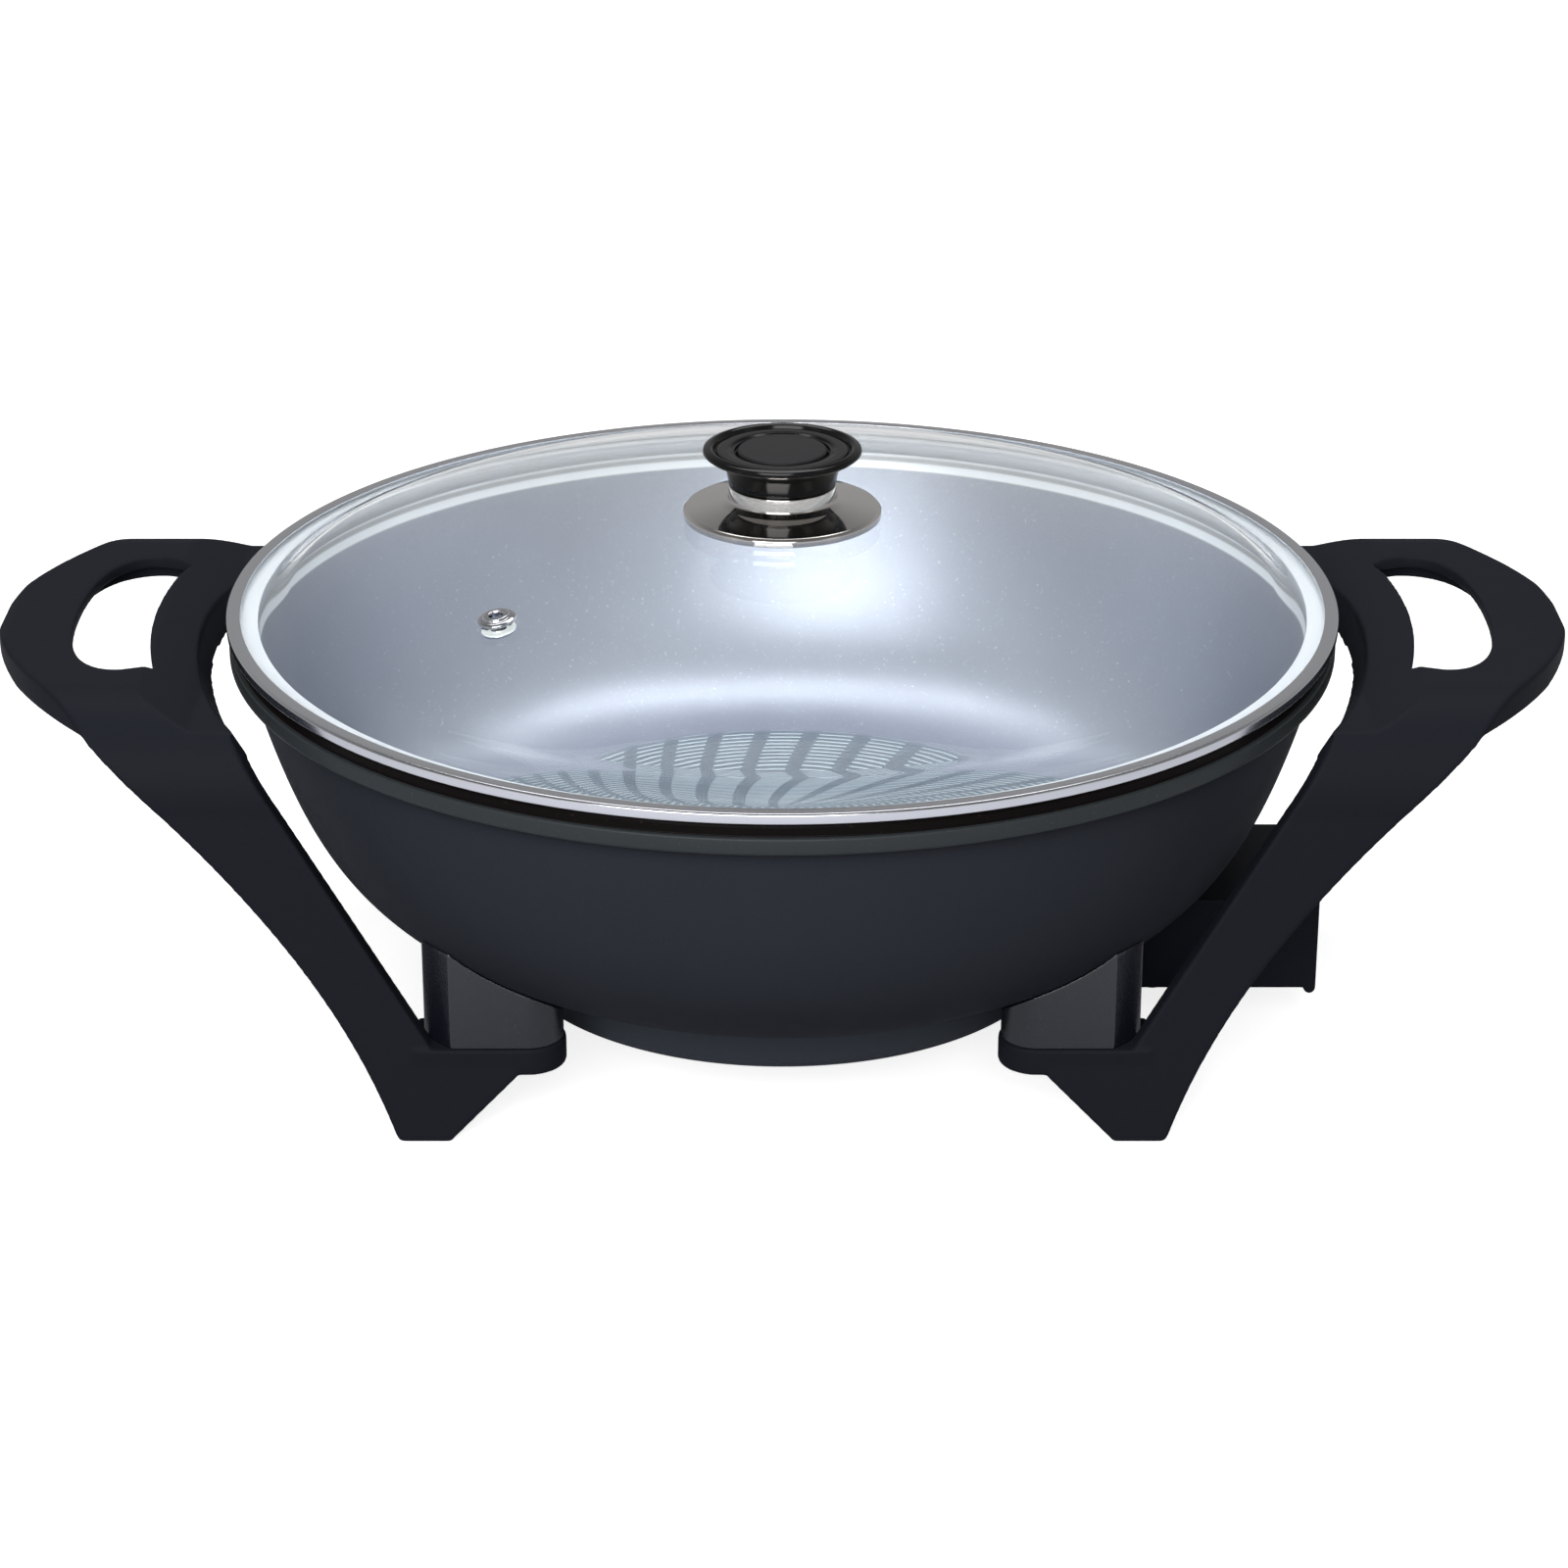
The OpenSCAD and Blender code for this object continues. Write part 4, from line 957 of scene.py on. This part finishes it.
class WOK_OT_lid_glass(Operator):
    """Makes the domed glass of the lid, with its vent hole."""

    bl_idname = "wok.lid_glass"
    bl_label = "Lid glass"

    def execute(self, context):
        clear = clear_glass("Clear glass", paints().glass)
        glass = turned("lid_glass_dome", glass_outline(), clear, sizes().turn_segments)
        bm = bmesh.new()
        bore = GLASS_HOLE_R * MM
        bmesh.ops.create_cone(bm, cap_ends=True, segments=48, radius1=bore, radius2=bore, depth=20 * MM)
        drill_mesh = bpy.data.meshes.new("Drill")
        bm.to_mesh(drill_mesh)
        bm.free()
        vent_place(drill_mesh)
        drill = linked("Drill", drill_mesh)
        cut = glass.modifiers.new("Vent hole", "BOOLEAN")
        cut.operation, cut.solver, cut.object = "DIFFERENCE", "EXACT", drill
        plain(glass)
        bpy.data.objects.remove(drill)
        smooth(glass)
        settle(glass, "lid", "clear_glass", "lid_glass")
        return {"FINISHED"}


class WOK_OT_lid_rim(Operator):
    """Makes the polished steel rim that is rolled round the glass."""

    bl_idname = "wok.lid_rim"
    bl_label = "Lid rim"

    def execute(self, context):
        top = GLASS_Z + GLASS_T + 0.1
        skirt = MOUTH_R - 1.2
        outline = softened([
            (skirt - RIM_T, SEAT_Z - 4.5), (skirt, SEAT_Z - 4.5, 0.1), (skirt, SEAT_Z, 0.3),
            (LID_R - 1.4, SEAT_Z, 0.8), (LID_R, SEAT_Z + 1.0, 0.8), (LID_R, top, 0.5),
            (LID_R - 0.6, top + RIM_T, 0.5), (LID_R - 4.5, top + RIM_T, 0.15), (LID_R - 4.5, top, 0.1),
            (LID_R - RIM_T, top), (LID_R - RIM_T, GLASS_Z + 0.7, 0.3), (LID_R - 1.6, GLASS_Z - 0.1, 0.3),
            (skirt - RIM_T, GLASS_Z - 0.1, 0.2)], 5)
        steel = polished_metal("Rim steel", paints().steel, roughness=0.16)
        satin = polished_metal("Rim satin", paints().satin, roughness=0.32, haze=0.1, depth=0.00002,
                               metallic=0.2)
        rim = turned("lid_rim_steel", outline, steel, sizes().turn_segments)
        zoned(rim, (steel, satin), lambda r, z, n_r, n_z: 0 if z > top - 0.5 or r > LID_R - 1.5 else 1)
        settle(rim, "lid", "polished_steel", "lid_rim")
        return {"FINISHED"}


class WOK_OT_vent(Operator):
    """Makes the steel eyelet of the steam vent."""

    bl_idname = "wok.vent"
    bl_label = "Steam vent"

    def execute(self, context):
        hole, flange = 2.2, 6.1
        half = GLASS_T / 2 + 0.6
        sleeve = hole + 0.8
        outline = softened([
            (hole, -half - 0.8, 0.2), (flange - 0.6, -half - 0.8, 0.3), (flange - 0.6, -half, 0.1),
            (sleeve, -half), (sleeve, half), (flange, half, 0.15), (flange, half + 0.7, 0.3),
            (flange - 0.8, half + 1.15, 0.5), (sleeve + 1.3, half + 1.25, 0.3),
            (sleeve + 0.8, half + 1.9, 0.35), (hole + 0.3, half + 1.9, 0.3), (hole, half + 1.4, 0.3)])
        steel = polished_metal("Vent steel", paints().steel, roughness=0.12)
        eyelet = turned("vent_eyelet_steel", outline, steel, VENT_SEGMENTS)
        vent_place(eyelet.data)
        settle(eyelet, "lid", "polished_steel", "vent_eyelet")
        return {"FINISHED"}


# ---- knob -------------------------------------------------------------------


class WOK_OT_knob(Operator):
    """Makes the moulded knob with its flat cap."""

    bl_idname = "wok.knob"
    bl_label = "Knob"

    def execute(self, context):
        foot, top = KNOB_LOW.z / MM, KNOB_HIGH.z / MM
        rim_r, neck, cap = KNOB_HIGH.x / MM, 17.6, 14.4
        rim, groove, seat = top - 1.5, top - 1.6, top - 3.0
        neck_curve = bezier((neck, foot + 1.6), (neck + 0.4, foot + 5), (neck + 1.6, rim - 3.6),
                            (neck + 3.6, rim - 2), 14)
        outline = softened([
            (0.0, foot), (neck - 1.2, foot, 0.5), (neck, foot + 0.8, 0.6), *neck_curve,
            (rim_r - 1.6, rim - 1.7, 0.8), (rim_r, rim - 0.4, 1.0), (rim_r - 0.4, rim + 0.8, 0.8),
            (rim_r - 2.4, top, 1.5), (rim_r - 3.4, rim + 0.9, 0.7), (rim_r - 4.1, groove - 0.7, 0.5),
            (rim_r - 4.7, groove + 0.35, 0.3), (rim_r - 5.5, groove + 0.45, 0.3),
            (cap + 3.4, groove + 0.45, 0.3), (cap + 2.6, groove + 0.35, 0.3),
            (cap + 1.9, groove - 0.2, 0.3), (cap + 1.1, groove - 0.1, 0.2), (cap + 0.9, seat), (0.0, seat)])
        gloss = moulding("Knob phenolic", (0.005, 0.005, 0.005), roughness=0.14, level=0.25,
                               grain=900.0, depth=0.00001, wander=0.03)
        knob = turned("knob_moulding", outline, gloss, KNOB_SEGMENTS)
        settle(knob, "lid", "knob_phenolic", "knob")
        outline = softened([
            (0.0, seat), (cap - 0.3, seat, 0.2), (cap, seat + 0.3, 0.2), (cap, top - 1.5, 0.25),
            (cap - 0.5, top - 1.02, 0.3), (0.0, top - 1.0)])
        matte = moulding("Cap phenolic", (0.018, 0.018, 0.02), roughness=0.45, level=0.25,
                               grain=2600.0, depth=0.00003, wander=0.04)
        plate = turned("knob_cap_plate", outline, matte, KNOB_SEGMENTS)
        settle(plate, "lid", "cap_phenolic", "knob_cap")
        return {"FINISHED"}


class WOK_OT_knob_skirt(Operator):
    """Makes the steel skirt and hub that the knob stands on."""

    bl_idname = "wok.knob_skirt"
    bl_label = "Knob skirt"

    def execute(self, context):
        low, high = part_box("knob_skirt")
        base, top, rim = low.z / MM, high.z / MM, high.x / MM
        hub, hole, sheet = 17.4, 2.9, 0.8
        foot = APEX_Z + 6.2
        outline = softened([
            (rim - sheet, base), (rim, base, 0.3), (rim, base + 2.0, 0.6), (rim - 0.9, base + 2.85, 0.8),
            (hub + 2.9, foot - 1.5, 0.8), (hub, foot - 0.5, 1.2), (hub, top, 0.4),
            (hole, top), (hole, top - sheet),
            (hub - sheet, top - sheet, 0.3), (hub - sheet, foot, 0.6), (hub + 1.2, foot - 1.9, 0.6),
            (rim - 1.4, base + 2.0, 0.6), (rim - sheet, base + 1.4, 0.3)], 5)
        steel = polished_metal("Skirt steel", (0.84, 0.81, 0.78), roughness=0.05, haze=0.02,
                               depth=0.000003)
        skirt = turned("knob_skirt_steel", outline, steel, KNOB_SEGMENTS)
        settle(skirt, "lid", "polished_steel", "knob_skirt")
        return {"FINISHED"}


# ---- carried-over nodes -----------------------------------------------------


class WOK_OT_small_parts(Operator):
    """Gives the screws, washers, seals, heater and pins their finishes."""

    bl_idname = "wok.small_parts"
    bl_label = "Small parts"

    def execute(self, context):
        plated = polished_metal("Plated steel", (0.62, 0.62, 0.6), roughness=0.26, haze=0.12, depth=0.00003)
        seal = moulding("Clear silicone", (0.62, 0.64, 0.64), roughness=0.35, level=0.4, grain=800.0,
                        depth=0.00002)
        finishes = {
            "heating_element": polished_metal("Heater sheath", (0.24, 0.22, 0.2), roughness=0.42,
                                              haze=0.2, depth=0.00004),
            "pin_bushes": moulding("Ceramic", (0.78, 0.76, 0.7), roughness=0.3, level=0.5, grain=700.0,
                                   depth=0.00003),
            "knob_insert": polished_metal("Brass", (0.72, 0.52, 0.24), roughness=0.22),
        }
        for node in ("terminal_pins", "base_screws", "shroud_screws", "leg_screws", "leg_washers",
                     "knob_washer", "knob_screw"):
            finishes[node] = plated
        for node in ("vent_gasket", "knob_gasket", "knob_under_gasket"):
            finishes[node] = seal
        for node, finish in finishes.items():
            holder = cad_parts[node]
            if not holder.material_slots:
                raise RuntimeError(f"{node} has no material slot")
            for place in holder.material_slots:
                place.material = finish
        return {"FINISHED"}


# ---- panel and registering --------------------------------------------------

GROUPS = {"wok_sizes": WokSizes, "wok_paints": WokPaints, "wok_stage": WokStage}
OPERATORS = (WOK_OT_stage, WOK_OT_pan, WOK_OT_base_cover, WOK_OT_handles, WOK_OT_spacers,
             WOK_OT_probe_socket, WOK_OT_lid_glass, WOK_OT_lid_rim, WOK_OT_vent, WOK_OT_knob,
             WOK_OT_knob_skirt, WOK_OT_small_parts)


class WOK_PT_pieces(Panel):
    """Lists the wok's pieces and the values that a user would change."""

    bl_label = "Electric Wok"
    bl_idname = "WOK_PT_pieces"
    bl_space_type = "VIEW_3D"
    bl_region_type = "UI"
    bl_category = "Wok"

    def draw(self, context):
        for operator in OPERATORS:
            self.layout.operator(operator.bl_idname)
        for group in GROUPS:
            held = getattr(context.scene, group)
            box = self.layout.box()
            for name in held.__annotations__:
                box.prop(held, name)


CLASSES = (*GROUPS.values(), *OPERATORS, WOK_PT_pieces)


def register():
    for cls in CLASSES:
        bpy.utils.register_class(cls)
    for name, group in GROUPS.items():
        setattr(bpy.types.Scene, name, PointerProperty(type=group))


def unregister():
    for name in GROUPS:
        delattr(bpy.types.Scene, name)
    for cls in reversed(CLASSES):
        bpy.utils.unregister_class(cls)


def main():
    register()
    for operator in OPERATORS:
        group, name = operator.bl_idname.split(".")
        getattr(getattr(bpy.ops, group), name)()
    bpy.context.view_layer.update()


if __name__ == "__main__":
    main()
